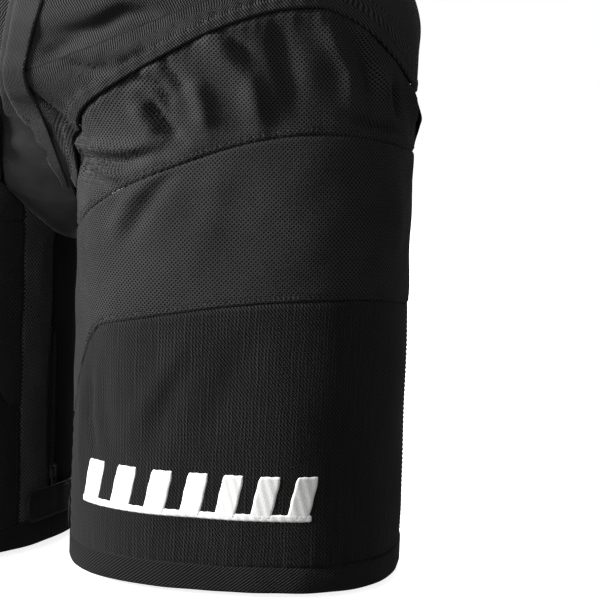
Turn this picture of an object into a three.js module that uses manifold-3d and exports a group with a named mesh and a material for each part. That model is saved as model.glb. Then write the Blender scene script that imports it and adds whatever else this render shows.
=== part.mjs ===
// Ice hockey pants: sewn fabric panels over foam pads and plastic guards, with
// inner-leg zips, hem tabs, a laced-front placket, a belt and brace buttons.
// Millimetres. +X is the wearer's left, -Y the wearer's front, +Z up.
// The origin is the middle of the waist opening. Heights in this file are
// measured up from the hem, and the whole model is lowered by FRONT_LENGTH.
import * as THREE from 'three';
import { mergeVertices } from 'three/addons/utils/BufferGeometryUtils.js';
import Module from 'manifold-3d';

const wasm = await Module();
wasm.setup();

// Driving dimensions: the garment.
const FRONT_LENGTH = 565;        // hem to the top of the waistband
const CROTCH_HEIGHT = 272;       // hem to the lowest point of the gusset
const LEG_CENTRE = 138;          // middle plane to the middle of a leg
const LEG_HALF_GAP = 11;         // middle plane to a leg's inner face
const HIP_HALF_WIDTH = 262;      // middle plane to the outside of the hips
const HEM_HALF_WIDTH = HIP_HALF_WIDTH + 2;   // the same at the hem
const WAIST_HALF_WIDTH = 205;    // the same at the waist
const HEM_FRONT_DEPTH = 116;     // middle plane to the front, at the hem
const HEM_BACK_DEPTH = 114;
const GROIN_FRONT_DEPTH = 122;   // the same where leg and trunk meet
const GROIN_BACK_DEPTH = 128;
const BELLY_DEPTH = 138;
const SEAT_DEPTH = 150;
const WAIST_FRONT_DEPTH = 132;
const WAIST_BACK_DEPTH = 135;
const TOE_OUT = 10;              // degrees each leg's section is turned outwards
const LEG_SQUARENESS = 2.6;      // exponent of the leg's rounded section
const TRUNK_SQUARENESS = 2.3;    // exponent of the trunk's rounded section
const TRUNK_FULLNESS = 1.03;     // the trunk's depth against the legs'
const SADDLE_RISE = 100;         // from the crotch to the front of the saddle
const SADDLE_CURVE = 1.6;        // exponent of the saddle and the gusset's edges

// Levels above the crotch.
const GROIN_RISE = 58;           // where the leg's depth starts to grow
const FLARE_START = -22;         // where the outer leg starts to turn into the trunk
const FLARE_END = 148;
const SADDLE_BLEND = [-45, 5];   // the same at the inner leg, from the saddle
const HIP_RISE = 133;            // widest level of the hips
const BELLY_RISE = 158;          // deepest level of the belly and the seat
const PIVOT_RISE = 118;          // axis that each leg swings about
const PIVOT_Y = -20;             // that axis, in front of the middle plane

// Seams between the panels.
const ARC_PEAK_RISE = 156;       // top of the arc seam round the flex mesh
const ARC_DROP_IN = 106;         // fall of the arc to its inner foot
const ARC_DROP_OUT = 62;         // fall of the arc to its outer foot
const ARC_PEAK_ANGLE = 38;
const ARC_FOOT_IN = -54;
const ARC_FOOT_OUT = 102;
const FLEX_PEAK_RISE = 66;       // top of the lower edge of the flex mesh
const FLEX_DROP_IN = 80;
const FLEX_DROP_OUT = 16;
const FLEX_PEAK_ANGLE = 44;
const THIGH_PANEL_HEIGHT = 218;  // top of the woven thigh panel, outer front
const THIGH_PANEL_DROP = 44;     // fall of that edge to the inner leg
const THIGH_PEAK_ANGLE = 50;
const THIGH_DROP_OUT = 14;       // fall of the same edge to the back of the leg
const FLEX_FOOT_ANGLE = -56;
const INNER_FRONT_ANGLE = -63;   // front seam of the inner leg
const OUTER_BACK_ANGLE = 108;    // seam behind the outer leg
const INNER_BACK_ANGLE = 234;    // back seam of the inner leg
const ZIP_ANGLE = 279;           // middle of the inner-leg zip
const SIDE_SEAM_ANGLE = 117;     // side seam of the trunk
const GUSSET_RISE = 60;          // rise of the legs' top edge beside the gusset
const BACK_SWING_ROOM = 16;      // the inner back panel stops short of the seat

// Thicknesses, clearances and facets.
const FABRIC = 1.6;
const SEAM_GAP = 0.6;            // between two panels of one body
const FLEX_GAP = 0.9;            // between the trunk and the legs
const LAYER_GAP = 0.5;           // between layers of a leg and at seats
const TRUNK_LAYER_GAP = 1.5;     // between layers where the hips curve both ways
const TRUNK_ROW = 18;            // height of a row of facets there
const ANGLE_STEP = 9;            // degrees between facet edges
const HEM_BAND_HEIGHT = 20;
const HEM_BAND_THICKNESS = 5;
const HEM_BAND_PROUD = 1.2;
const WAISTBAND_HEIGHT = 45;
const WAISTBAND_THICKNESS = 3.2;

// Pads and guards.
const GUARD_THICKNESS = 2.4;
const PAD_THICKNESS = 12;
const GUARD_BOTTOM = 42;
const GUARD_TOP = THIGH_PANEL_HEIGHT - 18;
const GUARD_SPAN = [-36, 90];
const PAD_MARGIN = 6;            // a pad's edge beyond its guard
const HIP_PAD_SPAN = [63, 126];
const HIP_PAD_BOTTOM_RISE = 134;
const HIP_PAD_HEIGHT = 104;
const HIP_PAD_GAP = 1.2;         // behind its cap
const KIDNEY_PAD_SPAN = [144, 207];
const KIDNEY_PAD_HEIGHT = 96;
const SPINE_PAD_HALF_WIDTH = 34;
const SPINE_PAD_HEIGHT = 116;
const SPINE_PAD_GAP = 1.2;

// Front opening and gusset.
const PLACKET_HALF_WIDTH = 13;
const PLACKET_FOOT_RISE = 104;
const UNDERLAP_HALF_WIDTH = 17;
const PLACKET_GAP = 0.9;         // front panels to the placket
const PLACKET_LEAN = 9;          // of the placket to the left, above the foot
const LEAN_START_RISE = 114;
const UNDERLAP_SHORTER = 20;
const STRIP_ROW = 12;            // height of a row of facets in a middle strip
const STRIP_COLUMNS = 4;
const FRONT_EDGE = 1;            // middle plane to a front panel's edge
const FRONT_LIMIT = ARC_FOOT_IN + 1;        // furthest a front panel turns under the crotch
const BACK_LIMIT = INNER_BACK_ANGLE - 1;    // the same for a seat panel
const GUSSET_END_REACH = 12;     // each end runs on past the legs' edges
const GUSSET_END_RISE = 34;
const GUSSET_END_HALF_WIDTH = 12;
const GUSSET_THICKNESS = 2;
const GUSSET_ROWS = 10;          // of facets under the crotch
const GUSSET_MARGIN = 3;         // degrees its seams stop short of the leg panels'

// Zip, pull and hem tab.
const ZIP_BOTTOM = 50;
const ZIP_LENGTH = 118;
const TAPE_WIDTH = 6;
const TAPE_THICKNESS = 0.9;
const TOOTH_PITCH = 3;
const TOOTH_REACH = 1.5;          // of a tooth past the middle of the chain
const SLIDER_LENGTH = 12;
const SLIDER_WALL = 1.1;
const SLIDER_OVERHANG = 2;       // of its plate beyond the teeth
const BRIDGE_LENGTH = 9;
const BRIDGE_WIDTH = 2;
const BRIDGE_HEIGHT = 3.4;
const BRIDGE_WALL = 1.2;
const RUNNING_GAP = 0.35;
const PULL_LENGTH = 12;
const PULL_WIDTH = 7;
const PULL_THICKNESS = 1;
const PULL_EYE = [3.2, 8];
const PULL_TOP = 1.2;            // of the pull above the slider's middle
const TAB_SPAN = [258, 294];
const TAB_BOTTOM = 19;
const TAB_HEIGHT = 25;

// Belt and brace buttons.
const WEBBING_WIDTH = 25;
const WEBBING_THICKNESS = 1.6;
const BELT_STANDOFF = 4;         // waistband to the back of the buckle
const SOCKET_END = 4;            // middle plane to the mouth of the socket
const BUCKLE_THICKNESS = 9;
const BUCKLE_HEIGHT = 35;
const SOCKET_LENGTH = 30;
const PLUG_LENGTH = 28;
const PRONG_LENGTH = 17;
const BUCKLE_WALL = 2;
const STRAP_END = 106;
const LOOP_PLACE = 96;
const LOOP_WIDTH = 12;
const BUTTON_RADIUS = 8.5;
const BUTTON_THICKNESS = 2.4;
const SHANK_RADIUS = 3;
const SHANK_HEIGHT = 1;
const BUTTON_PLACES = { inner: 128, outer: 158 };

// Generic embroidered mark: leaning bars on one base line.
const MARK_SPAN = [-44, 46];
const MARK_BOTTOM = 54;
const MARK_HEIGHT = 35;
const MARK_BARS = 7;
const MARK_LEAN = 3;             // degrees the top of a bar leans forward
const MARK_LINE = 5;
const MARK_THICKNESS = 0.8;

const COLOURS = {
  mesh: { color: 0x1b1b1d, roughness: 0.85, metalness: 0 },
  twill: { color: 0x161618, roughness: 0.8, metalness: 0 },
  satin: { color: 0x202023, roughness: 0.55, metalness: 0 },
  webbing: { color: 0x121214, roughness: 0.75, metalness: 0 },
  foam: { color: 0x55565a, roughness: 0.95, metalness: 0 },
  plastic: { color: 0x101012, roughness: 0.4, metalness: 0 },
  shell: { color: 0xd8d8d4, roughness: 0.45, metalness: 0 },
  zip: { color: 0x0d0d0e, roughness: 0.45, metalness: 0 },
  thread: { color: 0xf2f2f0, roughness: 0.6, metalness: 0 },
};

const pants = new THREE.Group();
pants.position.z = -FRONT_LENGTH;
const leftHalf = new THREE.Group();
const rightHalf = new THREE.Group();
rightHalf.scale.x = -1;
pants.add(leftHalf, rightHalf);

function addMesh(parent, name, geometry, colour) {
  const mesh = new THREE.Mesh(geometry, new THREE.MeshStandardMaterial(COLOURS[colour]));
  mesh.name = name;
  parent.add(mesh);
  return mesh;
}

function smoothStep(low, high, value) {
  const t = THREE.MathUtils.clamp((value - low) / (high - low), 0, 1);
  return t * t * (3 - 2 * t);
}

// A value that eases from station to station, each given as [height, value].
function eased(stations, height) {
  let value = stations[0][1];
  for (let i = 1; i < stations.length; i += 1) {
    const t = smoothStep(stations[i - 1][0], stations[i][0], height);
    value += (stations[i][1] - stations[i - 1][1]) * t;
  }
  return value;
}

const OUTLINE = {
  side: [[0, HEM_HALF_WIDTH], [CROTCH_HEIGHT, HIP_HALF_WIDTH],
    [CROTCH_HEIGHT + HIP_RISE, HIP_HALF_WIDTH], [FRONT_LENGTH, WAIST_HALF_WIDTH]],
  front: [[0, HEM_FRONT_DEPTH], [CROTCH_HEIGHT + GROIN_RISE, GROIN_FRONT_DEPTH],
    [CROTCH_HEIGHT + BELLY_RISE, BELLY_DEPTH], [FRONT_LENGTH, WAIST_FRONT_DEPTH]],
  back: [[0, HEM_BACK_DEPTH], [CROTCH_HEIGHT + GROIN_RISE, GROIN_BACK_DEPTH],
    [CROTCH_HEIGHT + BELLY_RISE, SEAT_DEPTH], [FRONT_LENGTH, WAIST_BACK_DEPTH]],
};

// Height of the saddle between the legs, at a distance in front of or behind
// the middle plane.
function saddleHeight(y) {
  const reach = Math.min(Math.abs(y) / GROIN_FRONT_DEPTH, 1);
  return CROTCH_HEIGHT + SADDLE_RISE * reach ** SADDLE_CURVE;
}

function superRadius(across, along, halfAcross, halfAlong, exponent) {
  const sum = (Math.abs(across) / halfAcross) ** exponent + (Math.abs(along) / halfAlong) ** exponent;
  return sum ** (-1 / exponent);
}

function legRadius(angle, height) {
  const turned = angle - THREE.MathUtils.degToRad(TOE_OUT);
  const across = Math.sin(turned);
  const along = Math.cos(turned);
  const outer = eased(OUTLINE.side, height) - LEG_CENTRE;
  const halfWidth = across > 0 ? outer : LEG_CENTRE - LEG_HALF_GAP;
  const halfDepth = eased(along > 0 ? OUTLINE.front : OUTLINE.back, height);
  return superRadius(across, along, halfWidth, halfDepth, LEG_SQUARENESS);
}

// Distance from a leg's middle line to the trunk's rounded section, which is
// centred on the middle plane, and no further than that plane.
function trunkRadius(angle, height) {
  const across = Math.sin(angle);
  const along = Math.cos(angle);
  const halfWidth = eased(OUTLINE.side, height);
  const halfDepth = eased(along > 0 ? OUTLINE.front : OUTLINE.back, height) * TRUNK_FULLNESS;
  let low = 0;
  let high = 2 * halfWidth;
  for (let i = 0; i < 40; i += 1) {
    const middle = (low + high) / 2;
    const sum = (Math.abs(LEG_CENTRE + middle * across) / halfWidth) ** TRUNK_SQUARENESS
      + ((middle * Math.abs(along)) / halfDepth) ** TRUNK_SQUARENESS;
    if (sum < 1) low = middle;
    else high = middle;
  }
  const toPlane = across < -1e-3 ? LEG_CENTRE / -across : Infinity;
  return Math.min(low, toPlane);
}

// A point of the garment's outer surface, seen from the middle line of the
// left leg: degrees round from the front towards the outside, height, and
// distance in from the surface.
function surfacePoint(degrees, height, inset = 0) {
  const angle = THREE.MathUtils.degToRad(degrees);
  const across = Math.sin(angle);
  const along = Math.cos(angle);
  const inward = THREE.MathUtils.clamp(-across * 1.2, 0, 1);
  const atPlane = across < 0 ? Math.abs((LEG_CENTRE * along) / Math.max(-across, 1e-3)) : 0;
  const saddle = across < 0 ? saddleHeight(atPlane) : 0;
  const outerBlend = smoothStep(CROTCH_HEIGHT + FLARE_START, CROTCH_HEIGHT + FLARE_END, height);
  const innerBlend = smoothStep(saddle + SADDLE_BLEND[0], saddle + SADDLE_BLEND[1], height);
  const blend = outerBlend * (1 - inward) + innerBlend * inward;
  const radius = legRadius(angle, height) * (1 - blend) + trunkRadius(angle, height) * blend - inset;
  return new THREE.Vector3(LEG_CENTRE + radius * across, -radius * along, height);
}

// Heights of the seams at an angle round the leg.
function quarterFall(drop, peakAngle, footAngle, degrees) {
  const t = THREE.MathUtils.clamp((degrees - peakAngle) / (footAngle - peakAngle), 0, 1);
  return drop * (1 - Math.cos((t * Math.PI) / 2));
}

function legTop(degrees) {
  const peak = CROTCH_HEIGHT + ARC_PEAK_RISE;
  const innerFoot = peak - ARC_DROP_IN;
  const angle = degrees < ARC_FOOT_IN ? degrees + 360 : degrees;
  if (angle <= ARC_PEAK_ANGLE) return peak - quarterFall(ARC_DROP_IN, ARC_PEAK_ANGLE, ARC_FOOT_IN, angle);
  if (angle <= ARC_FOOT_OUT) return peak - ARC_DROP_OUT * smoothStep(ARC_PEAK_ANGLE, ARC_FOOT_OUT, angle);
  if (angle <= INNER_BACK_ANGLE) {
    const outerFoot = peak - ARC_DROP_OUT;
    return outerFoot + (innerFoot - outerFoot) * smoothStep(ARC_FOOT_OUT, INNER_BACK_ANGLE, angle);
  }
  const besideGusset = Math.abs(angle - 270) / (270 - INNER_BACK_ANGLE);
  return innerFoot - GUSSET_RISE * (1 - Math.min(besideGusset, 1) ** SADDLE_CURVE);
}

function flexBottom(degrees) {
  const peak = CROTCH_HEIGHT + FLEX_PEAK_RISE;
  if (degrees <= FLEX_PEAK_ANGLE) {
    return peak - quarterFall(FLEX_DROP_IN, FLEX_PEAK_ANGLE, FLEX_FOOT_ANGLE, degrees);
  }
  if (degrees <= ARC_FOOT_OUT) {
    return peak - FLEX_DROP_OUT * smoothStep(FLEX_PEAK_ANGLE, ARC_FOOT_OUT, degrees);
  }
  const rest = FLEX_DROP_IN - FLEX_DROP_OUT;
  return peak - FLEX_DROP_OUT - rest * smoothStep(ARC_FOOT_OUT, INNER_BACK_ANGLE, degrees);
}

function thighPanelTop(degrees) {
  if (degrees > THIGH_PEAK_ANGLE) {
    return THIGH_PANEL_HEIGHT - THIGH_DROP_OUT * smoothStep(THIGH_PEAK_ANGLE, OUTER_BACK_ANGLE, degrees);
  }
  return THIGH_PANEL_HEIGHT - quarterFall(THIGH_PANEL_DROP, THIGH_PEAK_ANGLE, INNER_FRONT_ANGLE, degrees);
}

// The angle where a row of a panel reaches a distance from the middle plane,
// or the limit where the row turns under the crotch before it gets there.
function angleAtPlane(distance, heightAt, fromAngle, limit) {
  const step = Math.sign(limit - fromAngle) / 2;
  let near = fromAngle;
  let far = fromAngle + step;
  while (surfacePoint(far, heightAt(far)).x > distance) {
    near = far;
    far += step;
    if (Math.abs(far - fromAngle) > Math.abs(limit - fromAngle)) return limit;
  }
  for (let i = 0; i < 30; i += 1) {
    const middle = (near + far) / 2;
    if (surfacePoint(middle, heightAt(middle)).x > distance) near = middle;
    else far = middle;
  }
  return near;
}

// Turns a unit box into a curved slab. place() gets 0..1 across, 0..1 up and
// 0 (inner face) or 1 (outer face).
function mappedBox(columns, rows, place) {
  const geometry = new THREE.BoxGeometry(1, 1, 1, columns, rows, 1);
  const position = geometry.attributes.position;
  for (let i = 0; i < position.count; i += 1) {
    const point = place(position.getX(i) + 0.5, position.getY(i) + 0.5, position.getZ(i) + 0.5);
    position.setXYZ(i, point.x, point.y, point.z);
  }
  splitAlike(geometry);
  geometry.computeVertexNormals();
  return geometry;
}

// Splits the inner face's quads along the same diagonals as the outer face's,
// so that the two stay apart where a slab twists.
function splitAlike(geometry) {
  const corners = geometry.index.array;
  const inner = geometry.groups[5];
  for (let i = inner.start; i < inner.start + inner.count; i += 6) {
    const [a, b, d, , c] = corners.slice(i, i + 6);
    corners.set([a, b, c, a, c, d], i);
  }
}

// Whole facet steps that lie inside a span of angles.
function facetAngles(from, to) {
  const angles = [];
  for (let angle = Math.ceil(from / ANGLE_STEP) * ANGLE_STEP; angle < to; angle += ANGLE_STEP) {
    if (angle > from + 1 && angle < to - 1) angles.push(angle);
  }
  return angles;
}

// A panel or pad of even thickness that follows the garment's surface.
// from and to are angles, or { plane: distance } for an edge beside the
// middle plane; bottom and top are heights at an angle. All panels share the
// same facet angles, so that neighbours meet edge to edge.
function panel({ from, to, bottom, top, inset = 0, thickness = FABRIC, rowHeight = 48 }) {
  const sideGap = THREE.MathUtils.radToDeg(SEAM_GAP / 2 / (LEG_CENTRE - LEG_HALF_GAP));
  const rows = Math.max(1, Math.round((top(90) - bottom(90)) / rowHeight));
  const ends = [];
  for (let row = 0; row <= rows; row += 1) {
    const heightAt = (angle) => THREE.MathUtils.lerp(bottom(angle), top(angle), row / rows);
    ends.push([
      from.plane ? angleAtPlane(from.plane, heightAt, -20, FRONT_LIMIT) : from + sideGap,
      to.plane ? angleAtPlane(to.plane, heightAt, 200, BACK_LIMIT) : to - sideGap,
    ]);
  }
  const inner = facetAngles(Math.max(...ends.map((end) => end[0])), Math.min(...ends.map((end) => end[1])));
  const columns = inner.length + 1;
  return mappedBox(columns, rows, (u, v, w) => {
    const end = ends[Math.round(v * rows)];
    const angle = [end[0], ...inner, end[1]][Math.round(u * columns)];
    const height = THREE.MathUtils.lerp(bottom(angle), top(angle), v);
    return surfacePoint(angle, height, inset + thickness * (1 - w));
  });
}

// A strip across the middle plane on the front (side -1) or back (side 1).
function centreStrip({ side, centre, halfWidth, bottom, top, inset, thickness }) {
  const rows = Math.max(1, Math.round((top - bottom) / STRIP_ROW));
  return mappedBox(STRIP_COLUMNS, rows, (u, v, w) => {
    const height = THREE.MathUtils.lerp(bottom, top, v);
    const spread = side < 0 ? u * 2 - 1 : 1 - u * 2;
    const x = centre(height) + spread * halfWidth;
    const search = side < 0 ? [-20, FRONT_LIMIT] : [200, BACK_LIMIT];
    const angle = angleAtPlane(Math.max(Math.abs(x), FRONT_EDGE), () => height, ...search);
    const depth = surfacePoint(angle, height).y - side * (inset + thickness * (1 - w));
    return new THREE.Vector3(x, depth, height);
  });
}

function solidOf(geometry) {
  const bare = geometry.clone();
  bare.deleteAttribute('normal');
  bare.deleteAttribute('uv');
  const merged = mergeVertices(bare, 1e-4);
  return new wasm.Manifold(new wasm.Mesh({
    numProp: 3,
    vertProperties: new Float32Array(merged.attributes.position.array),
    triVerts: new Uint32Array(merged.index.array),
  }));
}

function geometryOf(solid) {
  const mesh = solid.getMesh();
  const geometry = new THREE.BufferGeometry();
  geometry.setAttribute('position', new THREE.BufferAttribute(mesh.vertProperties, 3));
  geometry.setIndex(new THREE.BufferAttribute(mesh.triVerts, 1));
  geometry.computeVertexNormals();
  return geometry;
}

function box(width, depth, height, x = 0, y = 0, z = 0) {
  return new THREE.BoxGeometry(width, depth, height).translate(x, y, z);
}

// ---- Trunk ----

const waistbandBottom = FRONT_LENGTH - WAISTBAND_HEIGHT;
const aboveLegs = (angle) => legTop(angle) + FLEX_GAP;
const underWaistband = () => waistbandBottom - SEAM_GAP;

function addTrunkHalf(half, side) {
  addMesh(half, `${side}_waistband`, panel({
    from: { plane: FRONT_EDGE },
    to: { plane: FRONT_EDGE },
    bottom: () => waistbandBottom,
    top: () => FRONT_LENGTH,
    thickness: WAISTBAND_THICKNESS,
    rowHeight: WAISTBAND_HEIGHT / 4,
  }), 'twill');
  addMesh(half, `${side}_front_panel`, panel({
    from: { plane: FRONT_EDGE },
    to: SIDE_SEAM_ANGLE,
    bottom: aboveLegs,
    top: underWaistband,
    rowHeight: TRUNK_ROW,
  }), 'twill');
  addMesh(half, `${side}_seat_panel`, panel({
    from: SIDE_SEAM_ANGLE,
    to: { plane: FRONT_EDGE },
    bottom: aboveLegs,
    top: underWaistband,
    rowHeight: TRUNK_ROW,
  }), 'twill');

  const hipBottom = CROTCH_HEIGHT + HIP_PAD_BOTTOM_RISE;
  const hipTop = hipBottom + HIP_PAD_HEIGHT;
  const capInset = FABRIC + TRUNK_LAYER_GAP;
  addMesh(half, `${side}_hip_cap`, panel({
    from: HIP_PAD_SPAN[0] + PAD_MARGIN,
    to: HIP_PAD_SPAN[1] - PAD_MARGIN,
    bottom: () => hipBottom + PAD_MARGIN,
    top: () => hipTop - PAD_MARGIN,
    inset: capInset,
    thickness: GUARD_THICKNESS,
    rowHeight: TRUNK_ROW,
  }), 'shell');
  addMesh(half, `${side}_hip_pad`, panel({
    from: HIP_PAD_SPAN[0],
    to: HIP_PAD_SPAN[1],
    bottom: () => hipBottom,
    top: () => hipTop,
    inset: capInset + GUARD_THICKNESS + HIP_PAD_GAP,
    thickness: PAD_THICKNESS,
    rowHeight: TRUNK_ROW,
  }), 'foam');
  addMesh(half, `${side}_kidney_pad`, panel({
    from: KIDNEY_PAD_SPAN[0],
    to: KIDNEY_PAD_SPAN[1],
    bottom: () => waistbandBottom - KIDNEY_PAD_HEIGHT,
    top: () => waistbandBottom - PAD_MARGIN,
    inset: capInset,
    thickness: PAD_THICKNESS,
    rowHeight: TRUNK_ROW,
  }), 'foam');
}

function addTrunkMiddle() {
  const leanStart = CROTCH_HEIGHT + LEAN_START_RISE;
  const lean = (height) => PLACKET_LEAN * smoothStep(leanStart, CROTCH_HEIGHT + BELLY_RISE, height);
  const placketFoot = CROTCH_HEIGHT + PLACKET_FOOT_RISE;
  addMesh(pants, 'fly_placket', centreStrip({
    side: -1,
    centre: lean,
    halfWidth: PLACKET_HALF_WIDTH,
    bottom: placketFoot,
    top: waistbandBottom - SEAM_GAP,
    inset: -(FABRIC + PLACKET_GAP),
    thickness: FABRIC,
  }), 'webbing');
  addMesh(pants, 'fly_underlap', centreStrip({
    side: -1,
    centre: lean,
    halfWidth: UNDERLAP_HALF_WIDTH,
    bottom: placketFoot + UNDERLAP_SHORTER,
    top: waistbandBottom - SEAM_GAP,
    inset: FABRIC + TRUNK_LAYER_GAP,
    thickness: FABRIC,
  }), 'twill');
  addMesh(pants, 'spine_pad', centreStrip({
    side: 1,
    centre: () => 0,
    halfWidth: SPINE_PAD_HALF_WIDTH,
    bottom: waistbandBottom - SPINE_PAD_HEIGHT,
    top: waistbandBottom - PAD_MARGIN,
    inset: FABRIC + SPINE_PAD_GAP,
    thickness: PAD_THICKNESS,
  }), 'foam');
  addMesh(pants, 'crotch_gusset', gusset(), 'satin');
}

// The gusset fills the saddle between the legs' top edges, and its two ends
// run up behind the front and seat panels.
function gusset() {
  const rows = GUSSET_ROWS + 2;
  const frontAngle = ARC_FOOT_IN + 360 - GUSSET_MARGIN;
  const backAngle = INNER_BACK_ANGLE + GUSSET_MARGIN;
  return mappedBox(STRIP_COLUMNS, rows, (u, v, w) => {
    const row = Math.round(v * rows);
    const share = THREE.MathUtils.clamp((row - 1) / GUSSET_ROWS, 0, 1);
    const angle = THREE.MathUtils.lerp(frontAngle, backAngle, share);
    const edge = surfacePoint(angle, legTop(angle));
    let halfWidth = edge.x - SEAM_GAP;
    const point = new THREE.Vector3(0, edge.y, edge.z);
    if (row === 0 || row === rows) {
      point.y += Math.sign(edge.y) * GUSSET_END_REACH;
      point.z += GUSSET_END_RISE;
      halfWidth = GUSSET_END_HALF_WIDTH;
    }
    point.x = (1 - u * 2) * halfWidth;
    point.z += GUSSET_THICKNESS * (1 - w);
    return point;
  });
}

// ---- Belt and buttons ----

const strapY = -(WAIST_FRONT_DEPTH * TRUNK_FULLNESS + BELT_STANDOFF + BUCKLE_THICKNESS / 2);
const beltHeight = FRONT_LENGTH - WAISTBAND_HEIGHT / 2;

function addBelt() {
  const tunnelHeight = WEBBING_WIDTH + 2 * RUNNING_GAP;
  const tunnelDepth = WEBBING_THICKNESS + 2 * RUNNING_GAP;
  const prongHeight = WEBBING_WIDTH - 4;
  const prongDepth = BUCKLE_THICKNESS - 2 * BUCKLE_WALL - 2 * RUNNING_GAP;

  const socketX = SOCKET_END - SOCKET_LENGTH / 2;
  const shell = solidOf(box(SOCKET_LENGTH, BUCKLE_THICKNESS, BUCKLE_HEIGHT, socketX, strapY, beltHeight));
  const mouthLength = PRONG_LENGTH + 1;
  const mouth = solidOf(box(mouthLength, prongDepth + 2 * RUNNING_GAP, prongHeight + 2 * RUNNING_GAP,
    SOCKET_END - mouthLength / 2 + 0.01, strapY, beltHeight));
  const strapSlot = solidOf(box(SOCKET_LENGTH, tunnelDepth, tunnelHeight,
    SOCKET_END - mouthLength - SOCKET_LENGTH / 2 - BUCKLE_WALL, strapY, beltHeight));
  addMesh(pants, 'buckle_socket', geometryOf(shell.subtract(mouth).subtract(strapSlot)), 'plastic');

  const plugX = SOCKET_END + 1 + PLUG_LENGTH / 2;
  const body = solidOf(box(PLUG_LENGTH, BUCKLE_THICKNESS, BUCKLE_HEIGHT, plugX, strapY, beltHeight));
  const tunnelLength = PLUG_LENGTH - BUCKLE_WALL - 4;
  const tunnel = solidOf(box(tunnelLength, tunnelDepth, tunnelHeight,
    plugX + PLUG_LENGTH / 2 - tunnelLength / 2 + 0.01, strapY, beltHeight));
  const prong = solidOf(box(PRONG_LENGTH, prongDepth, prongHeight,
    plugX - PLUG_LENGTH / 2 - PRONG_LENGTH / 2 + 0.5, strapY, beltHeight));
  addMesh(pants, 'buckle_plug', geometryOf(body.subtract(tunnel).add(prong)), 'plastic');

  const leftStart = plugX + PLUG_LENGTH / 2 - tunnelLength + 1;
  addStrap('left_belt_strap', leftStart, STRAP_END);
  addStrap('right_belt_strap', -STRAP_END, SOCKET_END - mouthLength - BUCKLE_WALL - 0.5);
}

function addStrap(name, start, end) {
  const strap = box(end - start, WEBBING_THICKNESS, WEBBING_WIDTH, (start + end) / 2, strapY, beltHeight);
  addMesh(pants, name, strap, 'webbing');
}

// A loop sewn on the waistband that the strap runs through.
function addBeltLoop(half, side) {
  const nearEdge = LOOP_PLACE - LOOP_WIDTH / 2;
  const angle = angleAtPlane(nearEdge, () => waistbandBottom, 10, FRONT_LIMIT);
  const seatY = surfacePoint(angle, waistbandBottom).y;
  const outerY = strapY - WEBBING_THICKNESS / 2 - RUNNING_GAP - 2;
  const depth = seatY - outerY;
  const middleY = (seatY + outerY) / 2;
  const outer = solidOf(box(LOOP_WIDTH, depth, WEBBING_WIDTH + 8, LOOP_PLACE, middleY, beltHeight));
  const holeDepth = WEBBING_THICKNESS + 2 * RUNNING_GAP;
  const holeHeight = WEBBING_WIDTH + 2 * RUNNING_GAP;
  const hole = solidOf(box(LOOP_WIDTH + 2, holeDepth, holeHeight, LOOP_PLACE, strapY, beltHeight));
  addMesh(half, `${side}_belt_loop`, geometryOf(outer.subtract(hole)), 'webbing');
}

// A brace button stands on its shank, square to the waistband.
function addBraceButton(half, side, place, distance) {
  const outline = [
    [0, LAYER_GAP], [SHANK_RADIUS, LAYER_GAP], [SHANK_RADIUS, LAYER_GAP + SHANK_HEIGHT],
    [BUTTON_RADIUS - 0.6, LAYER_GAP + SHANK_HEIGHT], [BUTTON_RADIUS, LAYER_GAP + SHANK_HEIGHT + 0.6],
    [BUTTON_RADIUS, LAYER_GAP + SHANK_HEIGHT + BUTTON_THICKNESS - 0.6],
    [BUTTON_RADIUS - 0.6, LAYER_GAP + SHANK_HEIGHT + BUTTON_THICKNESS],
    [0, LAYER_GAP + SHANK_HEIGHT + BUTTON_THICKNESS],
  ].map(([radius, height]) => new THREE.Vector2(radius, height));
  const button = new THREE.LatheGeometry(outline, 20);
  const mesh = addMesh(half, `${side}_brace_button_${place}`, button, 'plastic');
  const height = FRONT_LENGTH - WAISTBAND_HEIGHT / 2;
  const angle = angleAtPlane(distance, () => height, 30, FRONT_LIMIT);
  const seat = surfacePoint(angle, height);
  const along = surfacePoint(angle + 1, height).sub(seat);
  const up = surfacePoint(angle, height + 2).sub(seat);
  const outward = along.cross(up).normalize();
  mesh.position.copy(seat);
  mesh.quaternion.setFromUnitVectors(new THREE.Vector3(0, 1, 0), outward);
}

// ---- Legs ----

const aboveHemBand = () => HEM_BAND_HEIGHT + SEAM_GAP;

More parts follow.
